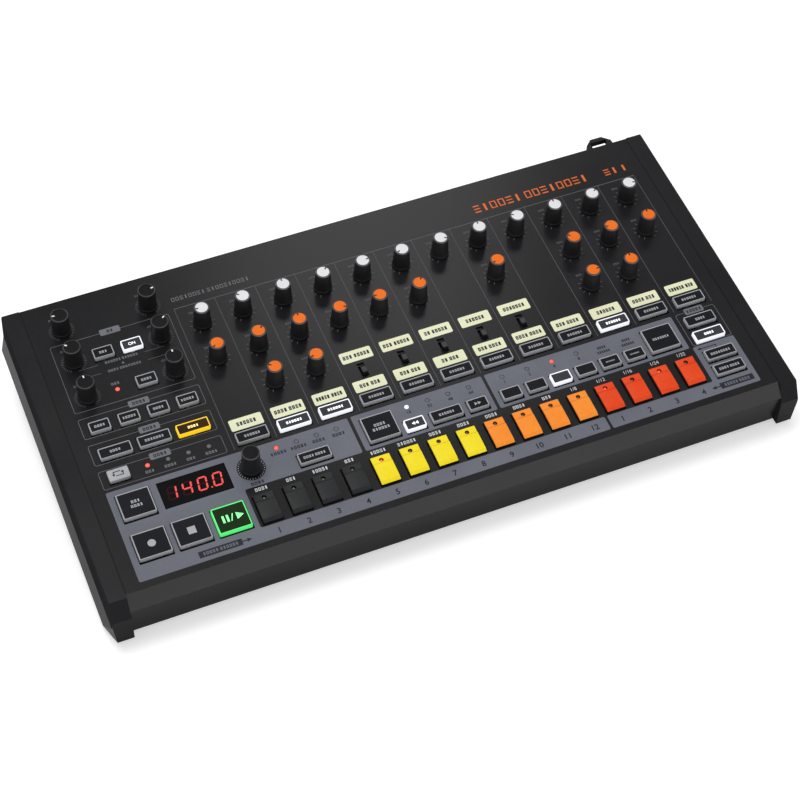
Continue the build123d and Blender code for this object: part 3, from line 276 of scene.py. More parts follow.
# ------------------------------------------------------------------ push buttons
# A push button is a milky polycarbonate frame that glows when its lamp is on, round a glossy dark lens.
# The frame's front face slopes out to the panel, and the cap drops 0.8 mm on a tact switch when pressed.
lens_sizes = {"small": (12.6, 7.1), "wide": (20.7, 7.1), "square": (20.7, 18.3)}
frame_rim = 0.8
frame_front = 0.6
frame_slope = 0.1
frame_ease = 0.35
frame_lip = 0.12
button_rise = 2.3
skirt_drop = 1.4
cap_corner = 0.9
lens_corner = 0.35
lens_edge = 0.15
lens_depth = 1.0
lens_top = button_rise - 0.25
legend_height = 1.9
mark_share = 0.74
gap_share = 0.55
bar_share = 1.2
icon_height = 2.6
icon_half = 2.7
column_pitch = 29.5
section_x = -179.0
small_pitch = 20.3
wide_pitch = 26.8
effect_row_v = 184.0
filter_row_v = 152.3
edit_row_v = 127.0
mode_row_v = 104.8
sync_row_v = 86.4
transport_row_v = 29.0
select_row_v = 85.1
timing_row_v = 55.1
square_row_v = 60.9
tempo_x = -85.3
auto_x = -36.3
length_x = 9.1
length_spread = 22.85
scale_x = 56.7
scale_pitch = 18.57
trigger_x = 172.4
tap_x = -205.8
right_x = 205.8
right_rows = (66.4, 52.9, 35.7, 22.4)
effect_x = [section_x - small_pitch / 2, section_x + small_pitch / 2]
edit_x = [section_x + small_pitch * (i - 1.5) for i in range(4)]
mode_x = [section_x + wide_pitch * i for i in (-1, 0, 1)]
skip_x = [length_x - length_spread, length_x + length_spread]
scale_places = [scale_x + scale_pitch * i for i in range(6)]


def column_x(number):
    """The middle of a voice column, counted from 1."""
    return first_column_x + column_pitch * (number - 1)


def ring(outline, height):
    """An outline raised to a height."""
    return [(x, v, height) for x, v in outline]


def skin(rings, loop=False):
    """The points and faces of a skin over rings, closed at its ends or joined last to first."""
    size = len(rings[0])
    faces = []
    for i in range(len(rings) if loop else len(rings) - 1):
        low = i * size
        high = (i + 1) % len(rings) * size
        for k in range(size):
            after = (k + 1) % size
            faces.append((low + k, low + after, high + after, high + k))
    if not loop:
        faces.append(tuple(reversed(range(size))))
        faces.append(tuple(range(len(rings) * size - size, len(rings) * size)))
    return [point for ring_points in rings for point in ring_points], faces


def solid(parts):
    """One mesh of several skins."""
    points = []
    faces = []
    for part_points, part_faces in parts:
        start = len(points)
        points.extend(part_points)
        faces.extend(tuple(start + i for i in face) for face in part_faces)
    mesh = bpy.data.meshes.new("solid")
    mesh.from_pydata(points, [], faces)
    return mesh


def lens_ring(button, side, front, radius, height):
    """A ring round a button's lens, wider by a rim at its sides and rear and by another in front."""
    x, v, width, depth = button[:4]
    near = v - depth / 2 - front
    outline = box(x - width / 2 - side, near, x + width / 2 + side, v + depth / 2 + side, radius)
    return ring(outline, height)


def button_frame(button):
    """The frame round one lens: skirt, sloping front, eased rim and the step down to the lens."""
    foot = frame_front + frame_slope
    start = frame_ease * 0.3
    steps = [
        (frame_rim, foot, cap_corner, -skirt_drop),
        (frame_rim, foot, cap_corner, 0.0),
        (frame_rim, frame_front, cap_corner, button_rise - 2 * frame_ease),
        (frame_rim - start, frame_front - start, cap_corner, button_rise - frame_ease * 0.6),
        (frame_rim - frame_ease, frame_front - frame_ease, cap_corner - frame_ease / 2, button_rise),
        (frame_lip, frame_lip, lens_corner, button_rise),
        (0.0, 0.0, lens_corner, button_rise - frame_lip),
        (0.0, 0.0, lens_corner, -skirt_drop),
    ]
    return skin([lens_ring(button, *step) for step in steps], loop=True)


def button_lens(button):
    """One lens: a plate with an eased edge, held in the frame."""
    steps = [
        (0.0, 0.0, lens_corner, lens_top - lens_depth),
        (0.0, 0.0, lens_corner, lens_top - lens_edge),
        (-lens_edge, -lens_edge, lens_corner - lens_edge, lens_top),
    ]
    return skin([lens_ring(button, *step) for step in steps])


def words(x, v, counts, height, fill=1.0, weight=0.24):
    """A plain row of marks in groups, centred, where a legend would stand."""
    mark = height * mark_share * fill
    step = height * fill
    gap = height * gap_share
    line = height * weight
    thick = line * bar_share
    at = x - (sum(counts) * step - (step - mark) * len(counts) + gap * (len(counts) - 1)) / 2
    low = v - height / 2
    high = v + height / 2
    marks = []
    for count in counts:
        for i in range(count):
            kind = (3 * i + count) % 4
            if kind in (0, 3):
                marks.append(box(at, low, at + mark, high))
                marks.append(box(at + line, low + line, at + mark - line, high - line))
            elif kind == 1:
                marks.append(box(at + mark / 2 - line, low, at + mark / 2 + line, high))
            else:
                bars = ((low, thick), (v - line / 2, line), (high - thick, thick))
                marks += [box(at, foot, at + mark, foot + tall) for foot, tall in bars]
            at += step
        at += gap - (step - mark)
    return marks


def arrow(x, v, length, height):
    """A triangle that points along +x, or along -x where its length is negative."""
    return [(x, v - height / 2), (x + length, v), (x, v + height / 2)]


def double_arrow(x, v, way):
    """Two triangles in a row."""
    return [arrow(x + way * start, v, way * 2.2, icon_height) for start in (-2.3, 0.1)]


def glow(name, code, strength, dark, light):
    """A translucent cap with its lamp on: the plastic itself shines, a little unevenly."""
    lit = {"Emission_Color": colour(code), "Emission_Strength": strength}
    return finish(name, dark, light, 1.0, 6.0, 0.005, (0.3, 0.4), **lit)


def lens_finish(tint_and_painted_lamp_light, dark, light):
    """Smoked polycarbonate, polished, so that it mirrors softly. Over a lit lamp its colour is painted
    lighter, in the lamp's hue, as painted lamp light.
    """
    return finish(f"polished_polycarbonate_{tint_and_painted_lamp_light}", dark, light, 2.5, 24.0, 0.0005, (0.4, 0.48), 0.05)


# Polycarbonate frame: milky light grey, moulded to a soft sheen. Lit, it shines in its lamp's colour.
milky_tones = ("#A4A5A9", "#AFB0B4")
frame_plastic = finish("moulded_polycarbonate_milky", *milky_tones, 0.8, 18.0, 0.008, (0.36, 0.46), 0.12)
white_glow = glow("polycarbonate_lit_white", "#F4F6FF", 0.8, "#A8A8AC", "#B8B8BC")
yellow_glow = glow("polycarbonate_lit_yellow", "#F6C91C", 0.95, "#8A7014", "#9C8018")
green_glow = glow("polycarbonate_lit_green", "#58F07E", 0.85, "#2C8C40", "#37A04E")
legend_white = print_ink("legend_ink_white", "#A4A5A8", "#AEAFB2")
legend_bright = glow("legend_ink_lit_white", "#FFFFFF", 0.9, "#D8D8DC", "#E6E6EA")
legend_green = glow("legend_ink_lit_green", "#86FF9E", 0.9, "#4CC066", "#5AD076")
legend_amber = glow("legend_ink_lit_amber", "#FFE9A0", 0.9, "#D8B860", "#E6C870")
# The clear, amber and green lenses are the same smoked plastic, painted lighter in their lamp's colour as
# painted lamp light.
lens_kinds = {
    "off": (frame_plastic, lens_finish("smoke", "#15161A", "#1B1C20"), legend_white),
    "white": (white_glow, lens_finish("clear", "#34363B", "#3C3E43"), legend_bright),
    "yellow": (yellow_glow, lens_finish("amber", "#33200F", "#3C2813"), legend_amber),
    "green": (green_glow, lens_finish("green", "#14260F", "#1B2F14"), legend_green),
}


def button(kind, x, v, light="off", counts=(), marks=None):
    """A button: its place, its lens's size, how it is lit, and its legend by counts of marks or as drawn."""
    return (x, v, *lens_sizes[kind], light, words(x, v, counts, legend_height) if marks is None else marks)


def button_set(body, buttons):
    """Frames, lenses and legends of the buttons on one body, by the colour that each is lit in."""
    for light, (frame_surface, lens_surface, legend_surface) in lens_kinds.items():
        lit = [one for one in buttons if one[4] == light]
        if not lit:
            continue
        frames = solid([button_frame(one) for one in lit])
        piece = lay(f"{body}_frames_{light}", frames, frame_surface, body)
        if lit[0] is buttons[0]:
            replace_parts(piece, body)
        lay(f"{body}_lenses_{light}", solid([button_lens(one) for one in lit]), lens_surface, body)
        legends = [outline for one in lit for outline in one[5]]
        if legends:
            ink(f"{body}_legends_{light}", legends, legend_surface, lens_top - 0.01, lens_top + 0.03, body)


skip_marks = [double_arrow(x, timing_row_v, way) for x, way in zip(skip_x, (-1, 1))]
function_buttons = [
    button("small", effect_x[0], effect_row_v, counts=(3,)),
    button("small", effect_x[1], effect_row_v, "white"),
    button("small", effect_x[1], filter_row_v, counts=(4,)),
    *[button("small", x, edit_row_v, counts=(4 + i % 2,)) for i, x in enumerate(edit_x)],
    button("small", skip_x[0], timing_row_v, "white", marks=skip_marks[0]),
    button("small", skip_x[1], timing_row_v, marks=skip_marks[1]),
    *[button("small", x, timing_row_v, "white" if i == 2 else "off") for i, x in enumerate(scale_places[:4])],
    *[button("small", x, timing_row_v, marks=words(x, timing_row_v, (7,), 1.0)) for x in scale_places[4:]],
    button("wide", mode_x[0], mode_row_v, counts=(4,)),
    button("wide", mode_x[1], mode_row_v, counts=(7,)),
    button("wide", mode_x[2], mode_row_v, "yellow", (4,)),
    button("wide", tempo_x, timing_row_v, counts=(4, 4)),
    button("wide", length_x, timing_row_v, counts=(6,)),
    button("wide", right_x, right_rows[0], counts=(4,)),
    button("wide", right_x, right_rows[1], "white", (4,)),
    button("wide", right_x, right_rows[2], counts=(8,)),
    button("wide", right_x, right_rows[3], counts=(4, 4)),
]
button_set("function_buttons", function_buttons)

select_lit = {number: "white" for number in (2, 3, 10)}
select_buttons = [
    button("wide", column_x(i), select_row_v, select_lit.get(i, "off"), (6,)) for i in range(1, 13)
]
button_set("select_buttons", select_buttons)


def two_lines(x, upper, lower):
    """Marks on two lines, for a square button."""
    return words(x, square_row_v + 1.7, (upper,), 2.1) + words(x, square_row_v - 1.7, (lower,), 2.1)


record_x, stop_x, play_x = mode_x
slash = [(-0.9, -icon_half), (-0.2, -icon_half), (1.7, icon_half), (1.0, icon_half)]
play_marks = [plate(play_x + x, transport_row_v, 1.5, 2 * icon_half) for x in (-5.45, -2.55)]
play_marks.append(moved(slash, play_x, transport_row_v))
play_marks.append(arrow(play_x + 3.4, transport_row_v, 5.0, 2 * icon_half))
stop_mark = plate(stop_x, transport_row_v, 2 * icon_half, 2 * icon_half)
square_buttons = [
    button("square", tap_x, square_row_v, marks=two_lines(tap_x, 3, 4)),
    button("square", record_x, transport_row_v, marks=[disc(record_x, transport_row_v, icon_half)]),
    button("square", stop_x, transport_row_v, marks=[stop_mark]),
    button("square", play_x, transport_row_v, "green", marks=play_marks),
    button("square", auto_x, square_row_v, marks=two_lines(auto_x, 4, 6)),
    button("square", trigger_x, square_row_v, marks=words(trigger_x, square_row_v, (7,), 1.8)),
]
button_set("square_buttons", square_buttons)

# The sync button has no lens: a plain grey cap with a loop of two dark arrows.
sync_x = edit_x[0]
loop_v = sync_row_v + 0.2
loop_half = 3.4
loop_tall = 1.9
loop_line = 0.6
cap_steps = (
    (frame_rim, frame_front + frame_slope, cap_corner, -skirt_drop),
    (frame_rim, frame_front + frame_slope, cap_corner, 0.0),
    (frame_rim, frame_front + frame_lip, cap_corner, button_rise - 0.3),
    (frame_rim - 0.3, frame_front - 0.3, cap_corner, button_rise),
)
sync_button = button("small", sync_x, sync_row_v)
sync_cap = solid([skin([lens_ring(sync_button, *step) for step in cap_steps])])
lay("function_buttons_sync_cap", sync_cap, frame_plastic, "function_buttons")
loop_shapes = [
    box(-loop_half, loop_tall - loop_line, loop_half - 1.6, loop_tall),
    box(-loop_half, -0.1, -loop_half + loop_line, loop_tall - loop_line),
    box(-loop_half + 1.6, -loop_tall, loop_half, -loop_tall + loop_line),
    box(loop_half - loop_line, -loop_tall + loop_line, loop_half, 0.1),
    [(-loop_half - 0.9, -0.1), (-loop_half + 0.2, -1.7), (-loop_half + 1.3, -0.1)],
    [(loop_half + 0.7, 0.1), (loop_half - 0.4, 1.7), (loop_half - 1.5, 0.1)],
]
loop_marks = [moved(shape, sync_x, loop_v) for shape in loop_shapes]
loop_heights = (button_rise, button_rise + ink_film)
ink("function_buttons_sync_arrows", loop_marks, dark_ink, *loop_heights, "function_buttons")

# ------------------------------------------------------------------ dials
# Each dial is a smooth tapered grip of black nylon, pushed on the flat of its potentiometer shaft. A
# coloured or black cap disc is pressed into its top, inside a thin rim painted pale as a highlight.
dial_skirt = 0.4
dial_gap = 0.6
cap_inset = 0.55
pointer_width = 0.95
pointer_film = 0.04
column_dial = (17.6, 5.25, 6.15)
black_dial = (17.8, 5.95, 6.35)
data_dial = (18.6, 5.95, 6.35)
column_tick = (2.4, 4.3)
black_tick = (3.15, 5.05)
data_tick = (1.0, 2.0)
dial_row_pitch = 31.9
tone_columns = (1, 2, 3, 4, 5, 6, 8, 10, 11, 12)
decay_columns = (2, 3, 10, 11)
level_angles = (-90, -56, 0, 50, 88, -115, 116, 0, -66, 0, 57, 105)
tone_angles = (-127, 54, 0, 115, -90, 37, -116, -55, -88, 0)
decay_angles = (-54, -112, 88, 0)
black_dial_spread = 30.8
black_dial_rows = (212.05, 183.7, 153.0)
black_dial_angles = ((-84, 82), (-56, 55), (0, 0))
encoder_x = -127.2
encoder_v = 61.1
rim_section = ((0.02, -0.44), (-0.34, 0.0), (-0.45, -0.1), (-0.12, -0.55))


def turned(profile, segments=48, loop=False):
    """A skin of revolution about the local z axis, from (radius, height) pairs."""
    turns = [2 * math.pi * i / segments for i in range(segments)]
    return skin([[(r * math.cos(a), r * math.sin(a), h) for a in turns] for r, h in profile], loop)


# Glass-filled nylon: black, matt from the mould, with a faint even sheen.
dial_plastic = finish("moulded_nylon_black", "#1A1A1C", "#212123", 0.7, 12.0, 0.01, (0.4, 0.52), 0.2)
# Its cap discs: black nylon, or satin ABS in white and orange.
black_cap = finish("moulded_nylon_black_cap", "#101011", "#151516", 0.7, 12.0, 0.01, (0.42, 0.55), 0.06)
white_cap = finish("moulded_abs_white", "#DCDCDE", "#E3E3E5", 0.8, 8.0, 0.004, (0.4, 0.5), 0.1)
orange_cap = finish("moulded_abs_orange", "#E86A16", "#ED7422", 0.8, 8.0, 0.004, (0.4, 0.5), 0.1)
# Its rim: the same nylon, painted paler as a painted highlight along the grip's top edge.
grey_painted_highlight_rim = finish("moulded_nylon_painted_highlight_edge", "#5E5F62", "#696A6D", 0.7, 12.0, 0.01, (0.35, 0.45), 0.3)
black_painted_highlight_rim = finish("moulded_nylon_black_edge", "#404144", "#4A4B4E", 0.7, 12.0, 0.01, (0.35, 0.45), 0.3)
pointer_ink = print_ink("pointer_ink_black", "#131314", "#1A1A1B")
white_pointer_ink = print_ink("pointer_ink_white", "#E6E6E8", "#F2F2F4")


def dial(node, x, v, angle, sizes, tick, cap_surface, rim_surface, tick_surface):
    """One dial on its body: grip, cap, rim and pointer, turned clockwise by its angle."""
    height, top, foot = sizes
    place = on_panel @ Matrix.Translation((x, v, 0)) @ Matrix.Rotation(-math.radians(angle), 4, "Z")
    base = foot + dial_skirt
    seat = top - cap_inset
    grip_profile = [(0.0, dial_gap), (base - 0.2, dial_gap), (base, dial_gap + 0.2), (base, dial_gap + 1.3)]
    grip_profile += [(foot + 0.05, dial_gap + 1.6), (top, height - 0.45), (top - 0.36, height)]
    grip_profile += [(seat - 0.3, height), (seat - 0.35, height - 0.15), (0.0, height - 0.15)]
    grip = lay(f"{node}_grip", solid([turned(grip_profile)]), dial_plastic, node, place)
    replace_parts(grip, node)
    edge = seat - 0.35
    cap_profile = [(0.0, height - 0.1), (edge, height - 0.1), (edge, height - 0.02)]
    cap_profile += [(edge - 0.12, height + 0.02), (edge * 0.5, height + 0.03), (0.0, height + 0.03)]
    lay(f"{node}_cap", solid([turned(cap_profile)]), cap_surface, node, place)
    # The rim ring is painted paler than the grip: a painted highlight on the top edge.
    rim_profile = [(top + r, height + h) for r, h in rim_section]
    lay(f"{node}_rim", solid([turned(rim_profile, loop=True)]), rim_surface, node, place)
    pointer = flat_shape([box(-pointer_width / 2, tick[0], pointer_width / 2, tick[1], 0.2)], pointer_film)
    pointer.transform(Matrix.Translation((0, 0, height + 0.05)))
    lay(f"{node}_pointer", pointer, tick_surface, node, place)


dial_rows = (
    ("level_knob", range(1, 13), level_angles, white_cap),
    ("tone_knob", tone_columns, tone_angles, orange_cap),
    ("decay_knob", decay_columns, decay_angles, orange_cap),
)
column_centres = []
for row, (name, columns, angles, cap_surface) in enumerate(dial_rows):
    for i, (column, angle) in enumerate(zip(columns, angles)):
        centre = (column_x(column), level_row_v - dial_row_pitch * row)
        column_centres.append(centre)
        look = (column_dial, column_tick, cap_surface, grey_painted_highlight_rim, pointer_ink)
        dial(f"{name}_{i + 1:02d}", *centre, angle, *look)
black_places = [
    (section_x + side * black_dial_spread, v, angle)
    for v, angles in zip(black_dial_rows, black_dial_angles)
    for side, angle in zip((-1, 1), angles)
]
for i, place in enumerate(black_places):
    dial(f"black_knob_{i + 1}", *place, black_dial, black_tick, black_cap, black_painted_highlight_rim, white_pointer_ink)
dial("data_knob", encoder_x, encoder_v, 0, data_dial, data_tick, black_cap, black_painted_highlight_rim, pointer_ink)

# ------------------------------------------------------------------ step keys
# Sixteen piano-style keys, hinged at the rear of their slot: a top in black, yellow, orange or red gloss ABS
# over side walls painted black as painted shade. Each has a sloping front lip, a groove behind the pad and a
# hole over its lamp.
key_count = 16
key_pitch = 20.43
first_key_x = -127.6
key_width = 13.4
key_front_v = 17.4
key_height = 3.0
key_lip_run = 2.5
key_lip_drop = 1.2
key_painted_shade_top = 1.75
key_groove = 0.3
key_step_back = 5.7
key_step_drop = 0.45
key_lamp_hole = 1.6
key_depth = 4.2
key_edge = 0.4
key_rear_v = key_front_v + 21.5
key_lamp_v = key_rear_v - 3.4
key_x = [first_key_x + key_pitch * i for i in range(key_count)]


def modified(mesh, kind, **settings):
    """A mesh with a modifier applied."""
    carrier = bpy.data.objects.new("carrier", mesh)
    scene.collection.objects.link(carrier)
    modifier = carrier.modifiers.new("shaping", kind)
    for name, value in settings.items():
        setattr(modifier, name, value)
    made = bpy.data.meshes.new_from_object(carrier.evaluated_get(bpy.context.evaluated_depsgraph_get()))
    bpy.data.objects.remove(carrier)
    return made


def across(profile, half_width):
    """A prism across the machine, from (v, height) pairs."""
    return skin([[(x, v, height) for v, height in profile] for x in (-half_width, half_width)])


step_v = key_rear_v - key_step_back
low_top = key_height - key_step_drop
key_profile = [(key_front_v, -key_depth), (key_front_v, key_height - key_lip_drop)]
key_profile += [(key_front_v + key_lip_run, key_height), (step_v, key_height), (step_v + 0.25, low_top)]
key_profile += [(key_rear_v, low_top), (key_rear_v, -key_depth)]
key_block = solid([across(key_profile, key_width / 2)])
key_shell = modified(key_block, "BEVEL", width=key_edge, segments=3, angle_limit=math.radians(25))
bore_points, bore_faces = turned([(0.0, -0.6), (key_lamp_hole, -0.6), (key_lamp_hole, 4.0), (0.0, 4.0)], 32)
bore = ([(x, v + key_lamp_v, height) for x, v, height in bore_points], bore_faces)
groove_profile = [(step_v - key_groove, key_height - key_groove), (step_v, key_height - key_groove)]
groove_profile += [(step_v, 4.0), (step_v - key_groove, 4.0)]
cutter = bpy.data.objects.new("cutter", solid([bore, across(groove_profile, key_width)]))
settle(cutter.data)
scene.collection.objects.link(cutter)
bpy.context.view_layer.update()
key_mesh = modified(key_shell, "BOOLEAN", object=cutter, operation="DIFFERENCE", solver="EXACT")
bpy.data.objects.remove(cutter)
work = bmesh.new()
work.from_mesh(key_mesh)
whole = [*work.verts, *work.edges, *work.faces]
bmesh.ops.bisect_plane(work, geom=whole, plane_co=(0, 0, key_painted_shade_top), plane_no=(0, 0, 1))
work.to_mesh(key_mesh)
work.free()


def panel_height(face):
    """The height of a face above the panel, in mm."""
    return (off_panel @ face.center).z


# The skirt below each coloured top is painted black and matt: painted shade on the key's side walls.
key_painted_shade_skirt = finish("moulded_abs_skirt_black", "#161617", "#1C1C1D", 0.9, 12.0, 0.01, (0.5, 0.6), 0.1)
key_colours = {
    "black": ("#232425", "#2A2B2C"),
    "yellow": ("#F2DA1E", "#F6E22C"),
    "orange": ("#F58A2C", "#F99534"),
    "red": ("#E0431A", "#E84E22"),
}
for group, (key_colour, tones) in enumerate(key_colours.items()):
    # Gloss ABS: bright moulded colour with a polished top and slight flow marks.
    key_plastic = finish(f"moulded_abs_{key_colour}", *tones, 2.0, 16.0, 0.003, (0.34, 0.44), 0.1)
    work = bmesh.new()
    for x in key_x[4 * group : 4 * group + 4]:
        one = key_mesh.copy()
        one.transform(Matrix.Translation((x, 0, 0)))
        work.from_mesh(one)
    keys = bpy.data.meshes.new("keys")
    work.to_mesh(keys)
    work.free()
    name = f"{key_colour}_keys"
    piece = lay(f"{name}_caps", keys, key_plastic, name)
    # Faces below the shade line take the black skirt: painted shade on the key walls.
    share_out(keys, [key_plastic, key_painted_shade_skirt], lambda face: int(panel_height(face) < key_painted_shade_top))
    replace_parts(piece, name)

# ------------------------------------------------------------------ lamps
# Diffused 3 mm lamps on the control board show through the panel; those in the keys sit in their holes.
# Most are dark and milky; a few are lit red, and one white.
lamp_radius = 1.5
lamp_foot = -3.0
lamp_row_v = 70.3
sync_lamp_v = 87.2
tempo_lamp_pitch = 14.1
length_lamp_pitch = 15.1
sync_lamps = [(section_x + tempo_lamp_pitch * (i - 0.75), sync_lamp_v) for i in range(4)]
tempo_lamps = [(tempo_x + tempo_lamp_pitch * (i - 1.5), lamp_row_v) for i in range(4)]
length_lamps = [(length_x + length_lamp_pitch * (i - 1.5), lamp_row_v) for i in range(4)]
scale_lamps = [(x, lamp_row_v) for x in scale_places[:4]]
signal_lamp = (effect_x[0], filter_row_v)
panel_lamps = [signal_lamp, *sync_lamps, *tempo_lamps, *length_lamps, *scale_lamps]
lit_red = [signal_lamp, sync_lamps[0], tempo_lamps[0], scale_lamps[2]]
lit_white = [length_lamps[0]]
key_lamps = [(x, key_lamp_v) for x in key_x]
lit_keys = [key_lamps[4], key_lamps[12], key_lamps[14]]


def lamp_set(name, places, radius, top, surface):
    """The round tops of some lamps."""
    tops = []
    profile = [(0.0, lamp_foot), (radius, lamp_foot), (radius, top - 0.25)]
    profile += [(radius * 0.8, top - 0.06), (0.0, top)]
    for x, v in places:
        points, faces = turned(profile, 24)
        tops.append(([(px + x, pv + v, height) for px, pv, height in points], faces))
    return lay(name, solid(tops), surface, "case")


panel_lamp = (lamp_radius, 0.3)
key_lamp = (1.0, 1.6)
dark_lamps = [place for place in panel_lamps if place not in lit_red + lit_white]
dark_keys = [place for place in key_lamps if place not in lit_keys]
# Cast epoxy: milky with its lamp off. In the keys it is painted darker and browner, as painted shade of the
# holes they sit in. Lit, the whole dome shines.
lamp_resin = finish("cast_epoxy_milky", "#5B5E64", "#686B71", 1.0, 5.0, 0.003, (0.3, 0.4), 0.15)
key_lamp_painted_shade_resin = finish("cast_epoxy_painted_shade", "#55493F", "#625548", 1.0, 5.0, 0.003, (0.3, 0.4), 0.3)
red_glow = glow("cast_epoxy_lit_red", "#FF5B45", 0.92, "#8A2C1E", "#983426")
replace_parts(lamp_set("lamps_dark", dark_lamps, *panel_lamp, lamp_resin), "lamps")
lamp_set("lamps_lit_red", lit_red, *panel_lamp, red_glow)
lamp_set("lamps_lit_white", lit_white, *panel_lamp, white_glow)
# The unlit key lamps take the darker resin: painted shade of their holes.
lamp_set("key_lamps_dark", dark_keys, *key_lamp, key_lamp_painted_shade_resin)
lamp_set("key_lamps_lit_red", lit_keys, *key_lamp, red_glow)

# ------------------------------------------------------------------ display
# Four seven-segment digits behind a smoked acrylic window, reading a plain number.
# Lit segments glow red; the unlit ones show as faint ghosts.
display_x = -165.9
display_v = 61.1
half_wide = 2.75
half_tall = 4.7
digit_pitch = 10.3
digit_slant = 0.14
segment = 1.2
segment_gap = 0.15
point_radius = 0.55
window_glass = finish("smoked_acrylic", "#08090B", "#0C0D0F", 4.0, 30.0, 0.0005, (0.3, 0.36), 0.03)
digit_glow = glow("display_segment_lit", "#F01E1C", 1.0, "#401010", "#481212")
digit_ghost = finish("display_segment_dark", "#2A0F0B", "#30120D", 1.0, 6.0, 0.002, (0.3, 0.4), 0.03)
cover("display", window_glass)


def bar(x0, v0, x1, v1):
    """One pointed segment between two ends."""
    along = Vector((x1 - x0, v1 - v0)).normalized()
    side = Vector((-along.y, along.x)) * segment / 2
    tip = along * segment / 2
    start = Vector((x0, v0)) + along * segment_gap
    end = Vector((x1, v1)) - along * segment_gap
    return [start, start + tip + side, end - tip + side, end, end - tip - side, start + tip - side]


segment_ends = {
    "a": (-half_wide, half_tall, half_wide, half_tall),
    "b": (half_wide, half_tall, half_wide, 0),
    "c": (half_wide, 0, half_wide, -half_tall),
    "d": (-half_wide, -half_tall, half_wide, -half_tall),
    "e": (-half_wide, 0, -half_wide, -half_tall),
    "f": (-half_wide, half_tall, -half_wide, 0),
    "g": (-half_wide, 0, half_wide, 0),
}
number_shapes = {"1": "bc", "4": "bcfg", "0": "abcdef"}
lit_segments = []
ghost_segments = []
for i, figure in enumerate("1400"):
    digit_x = display_x + digit_pitch * (i - 1.5)
    for letter, ends in segment_ends.items():
        slanted = [(px + digit_slant * pv, pv) for px, pv in bar(*ends)]
        group = lit_segments if letter in number_shapes[figure] else ghost_segments
        group.append(moved(slanted, digit_x, display_v))
lit_segments.append(disc(display_x + digit_pitch * 0.98, display_v - half_tall, point_radius))
ink("display_segments_lit", lit_segments, digit_glow, 0.0, 0.06)
ink("display_segments_dark", ghost_segments, digit_ghost, 0.0, 0.04)

# ------------------------------------------------------------------ slide switches
# Five slide switches choose between two voices of a column. Each has a black acetal lever in a slot,
# its flat top painted grey as a painted sheen.
lever_rest_v = 107.2
lever_width = 4.0
lever_length = 5.0
lever_rise = 3.6
lever_corner = 0.4
lever_steps = ((0.0, -1.0), (0.2, lever_rise - 0.3), (0.6, lever_rise - 0.06))
switch_columns = (4, 5, 6, 7, 8)
lever_plastic = finish("moulded_acetal_black", "#141415", "#19191A", 0.8, 10.0, 0.006, (0.4, 0.5), 0.1)
painted_sheen_plastic = finish("moulded_acetal_painted_sheen", "#3A3A3C", "#424244", 0.8, 10.0, 0.006, (0.4, 0.5), 0.1)


def lever(x, narrower, shorter=0.0):
    """The outline of a lever at some height."""
    return plate(x, lever_rest_v, lever_width - narrower, lever_length - shorter, lever_corner)


lever_x = [column_x(number) for number in switch_columns]
levers = solid([skin([ring(lever(x, less), height) for less, height in lever_steps]) for x in lever_x])
piece = lay("slide_levers_caps", levers, lever_plastic, "slide_levers")
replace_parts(piece, "slide_levers")
# The grey pad on each lever's top is a painted sheen.
lever_sheen_tops = [lever(x, 0.6, 0.6) for x in lever_x]
ink("slide_levers_painted_sheen_tops", lever_sheen_tops, painted_sheen_plastic, lever_rise - 0.1, lever_rise, "slide_levers")
cover("switch_housings", dial_plastic)

# ------------------------------------------------------------------ printed areas
# Blue-grey areas lie round the transport, timing and number rows, screen printed on the coated steel.
# Each stops short of every opening, so that bare coat shows round buttons, lamps and the encoder.
opening_gap = 0.65
opening_front = 2.1
opening_corner = 0.6
lamp_gap = 0.25
encoder_scale_radius = 9.6
display_opening = (46.9, 21.0)
zone_corner = 1.2
zone_left = -221.8
zone_right = 221.7
zone_front = 5.2
zone_rear = 75.9
zone_split = ((-54.4, -52.0), (43.2, 45.4), (188.0, 191.2))
bar_split = (107.7, 109.6)
strip_rear = 15.9
keys_left = -136.9
keys_right = 190.0
slot_rear = 46.7
right_slot_rear = slot_rear - 0.3


def opening(kind, x, v):
    """The outline of a button's opening, with the gap round it."""
    width, depth = lens_sizes[kind]
    side = width / 2 + frame_rim + opening_gap
    front = v - depth / 2 - opening_front - opening_gap
    return box(x - side, front, x + side, v + depth / 2 + frame_rim + opening_gap, opening_corner)


left_area = [(zone_left, zone_front), (bar_split[0], zone_front), (bar_split[0], strip_rear)]
left_area += [(keys_left, strip_rear), (keys_left, slot_rear), (zone_split[0][0], slot_rear)]
left_area += [(zone_split[0][0], zone_rear), (zone_left, zone_rear)]
right_area = [(bar_split[1], zone_front), (zone_right, zone_front), (zone_right, right_slot_rear)]
right_area += [(keys_right, right_slot_rear), (keys_right, strip_rear), (bar_split[1], strip_rear)]
areas = [
    soft(left_area, zone_corner),
    soft(right_area, zone_corner),
    box(zone_split[0][1], slot_rear, zone_split[1][0], zone_rear, zone_corner),
    box(zone_split[1][1], slot_rear, zone_split[2][0], zone_rear, zone_corner),
    opening("square", tap_x, square_row_v),
    *[opening("square", x, transport_row_v) for x in mode_x],
    opening("square", auto_x, square_row_v),
    opening("square", trigger_x, square_row_v),
    opening("wide", tempo_x, timing_row_v),
    opening("wide", length_x, timing_row_v),
    *[opening("small", x, timing_row_v) for x in skip_x + scale_places],
    *[opening("wide", right_x, v) for v in right_rows[2:]],
    *[disc(*lamp, lamp_radius + lamp_gap) for lamp in tempo_lamps + length_lamps + scale_lamps],
    disc(encoder_x, encoder_v, encoder_scale_radius, 48),
    plate(display_x, display_v, *display_opening),
]
ink("print_grey_areas", areas, grey_ink)

